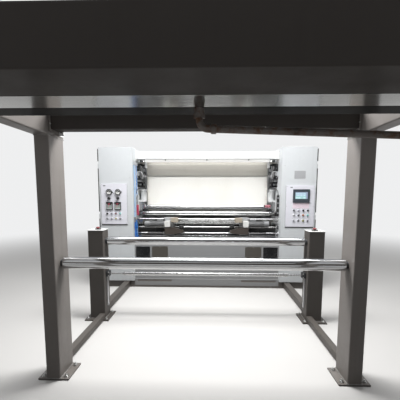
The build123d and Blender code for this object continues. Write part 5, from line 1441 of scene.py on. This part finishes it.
def covers():
    """Screwed and louvred covers on the outside of each cabinet, and bolts along the back."""
    thick, height, louvre = 0.003, 1.5, 0.24
    hood = [(0.0, 0.0), (0.008, 0.0), (0.001, 0.014)]
    # Painted shade: a thin black strip under each louvre's lip stands for the shade in its slot.
    gap = [(0.0, -0.0008), (0.0012, -0.0008), (0.0012, 0.0), (0.0, 0.0)]
    for side, s in SIDES.items():
        out, wall = (s, 0, 0), s * 1.49
        face = wall + s * thick
        plates = Piece(f"side_covers_{side}", "cabinet_paint", cabinet_paint, zinc, black, bevel=0.0008)
        for y0, y1 in ((0.72, 1.23), (1.29, 1.86)):
            middle = (y0 + y1) / 2
            plates.prism(round_rect(y1 - y0, height, 0.012), (wall, middle, 1.05), (0, s, 0), UP, thick)
            for y, k in product((y0 + 0.02, y1 - 0.02), range(5)):
                plates.screw((face, y, 0.33 + 0.36 * k), 0.0045, 1, out)
            for k in range(9):
                start = (face, middle - louvre / 2, 0.42 + 0.022 * k)
                plates.prism(hood, start, out, UP, -louvre * s)
                # Black strip in the slot: painted shade
                plates.prism(gap, start, out, UP, -louvre * s, 2)
        plates.done()
    back = Piece("guard_screws", "bright_steel", zinc)
    for k, z in product(range(15), (0.15, 0.86)):
        back.bolt((-0.98 + 0.14 * k, 1.9091, z), 0.006, axis=REAR)
    back.done()


covers()


# World, stage, lamps and camera


PALE_COLOR = (0.86, 0.865, 0.87)
# The world's colours from straight down (0) to straight up (1), in front and at the rear
SOFT_FRONT = (
    (0.0, (0.07, 0.062, 0.057)),
    (0.45, (0.05, 0.045, 0.041)),
    (0.7, (0.13, 0.13, 0.13)),
    (1.0, (0.4, 0.41, 0.42)),
)
SOFT_REAR = ((0.0, (0.3, 0.29, 0.28)), (0.45, (0.55, 0.55, 0.56)), (1.0, (0.68, 0.69, 0.71)))
GLOSS_FRONT = (
    (0.0, (0.2, 0.18, 0.16)),
    (0.42, (0.035, 0.028, 0.024)),
    (0.6, (0.05, 0.042, 0.036)),
    (0.74, (0.2, 0.19, 0.18)),
    (0.8, (0.85, 0.86, 0.88)),
    (0.88, (0.3, 0.3, 0.3)),
    (1.0, (0.9, 0.92, 0.95)),
)
GLOSS_REAR = (
    (0.0, (0.2, 0.19, 0.18)),
    (0.46, (0.3, 0.3, 0.3)),
    (0.6, (0.8, 0.81, 0.83)),
    (0.8, (0.35, 0.35, 0.36)),
    (1.0, (0.9, 0.92, 0.95)),
)


def surroundings():
    """A studio that is pale to the camera, dark in front for what the machine mirrors, pale behind."""
    world = bpy.data.worlds.new("world")
    bpy.context.scene.world = world
    tree = Tree(world)
    tree.nodes.clear()
    way = tree.node("SeparateXYZ", {0: tree.node("TexCoord").outputs["Generated"]}).outputs
    rear = tree.span(way[1], -0.45, 0.55, interpolation_type="SMOOTHSTEP")
    height = tree.math("MULTIPLY_ADD", way[2], 0.5, 0.5)

    def ramp(stops):
        made = tree.node("ValToRGB", {0: height})
        elements = made.color_ramp.elements
        while len(elements) < len(stops):
            elements.new(0.5)
        for element, (where, color) in zip(elements, stops):
            element.position, element.color = where, color + (1,)
        return made.outputs[0]

    seen = tree.node("LightPath").outputs
    soft = tree.mix(rear, ramp(SOFT_FRONT), ramp(SOFT_REAR))
    gloss = tree.mix(rear, ramp(GLOSS_FRONT), ramp(GLOSS_REAR))
    color = tree.mix(seen["Is Glossy Ray"], soft, gloss)
    for ray in ("Is Transmission Ray", "Is Camera Ray"):
        color = tree.mix(seen[ray], color, PALE_COLOR)
    back = tree.node("Background", {0: color})
    tree.node("OutputWorld", {0: back.outputs[0]})


def floor():
    """A disc that fades into the backdrop and throws little light back at the object."""
    material = bpy.data.materials.new("floor")
    tree = Tree(material)
    tree.nodes.clear()
    seen = tree.node("LightPath").outputs
    mirrored = tree.math("MAXIMUM", seen["Is Glossy Ray"], seen["Is Transmission Ray"])
    direct = tree.math("MAXIMUM", seen["Is Camera Ray"], mirrored)
    matt = tree.node("BsdfDiffuse", {0: tree.mix(direct, (0.17, 0.165, 0.16), (0.56, 0.55, 0.535))})
    far = tree.node("Emission", {0: PALE_COLOR + (1,)})
    place = tree.node("TexCoord").outputs["Object"]
    reach = tree.node("VectorMath", {0: place}, operation="LENGTH").outputs["Value"]
    fade = tree.span(reach, 3.6, 9.0, interpolation_type="SMOOTHSTEP")
    blend = tree.node("MixShader", {0: fade, 1: matt.outputs[0], 2: far.outputs[0]})
    tree.node("OutputMaterial", {0: blend.outputs[0]})
    mesh = bpy.data.meshes.new("floor")
    count, radius = 64, 45.0
    turns = [2 * math.pi * k / count for k in range(count)]
    points = [(radius * math.cos(turn), radius * math.sin(turn), -0.0005) for turn in turns]
    mesh.from_pydata(points, [], [tuple(range(count))])
    mesh.materials.append(material)
    in_scene("floor", mesh)


def lamp(name, place, target, size, power):
    """An area lamp that the camera doesn't see."""
    light = bpy.data.lights.new(name, "AREA")
    light.shape, light.size, light.size_y = "RECTANGLE", size[0], size[1]
    light.energy = power
    thing = in_scene(name, light)
    thing.location = place
    thing.rotation_mode = "QUATERNION"
    thing.rotation_quaternion = (Vector(target) - Vector(place)).to_track_quat("-Z", "Y")
    thing.visible_camera = False


def camera():
    """The camera at the photograph's place, slightly rolled, with a small shift for its framing."""
    data = bpy.data.cameras.new("camera")
    data.lens, data.sensor_width = 26.1, 36.0
    data.shift_x, data.shift_y = -0.005, 0.0605
    data.clip_start, data.clip_end = 0.05, 200
    turns = ((1.62, "Z"), (84.12, "X"), (0.14, "Z"))
    pan, tilt, roll = (Matrix.Rotation(math.radians(angle), 4, axis) for angle, axis in turns)
    thing = in_scene("camera", data)
    thing.matrix_world = Matrix.Translation((0.052, -3.415, 1.33)) @ pan @ tilt @ roll
    bpy.context.scene.camera = thing


surroundings()
floor()
lamp("key", (0.0, -0.2, 3.35), (0, 0.6, 1.2), (3.4, 1.0), 104)
lamp("strip", (0.0, 0.845, 1.785), (0, 1.03, 1.3), (1.7, 0.05), 1.5)
lamp("bay", (0.0, -0.75, 2.9), (0, -1.7, 1.1), (1.4, 0.7), 88)
lamp("rear", (0.0, 3.6, 3.8), (0, 1.2, 0.9), (3.0, 1.6), 60)
lamp("fill", (-2.8, -4.6, 2.6), (0, -0.8, 1.0), (2.0, 2.0), 2)
camera()
bpy.context.scene.view_settings.view_transform = "Standard"
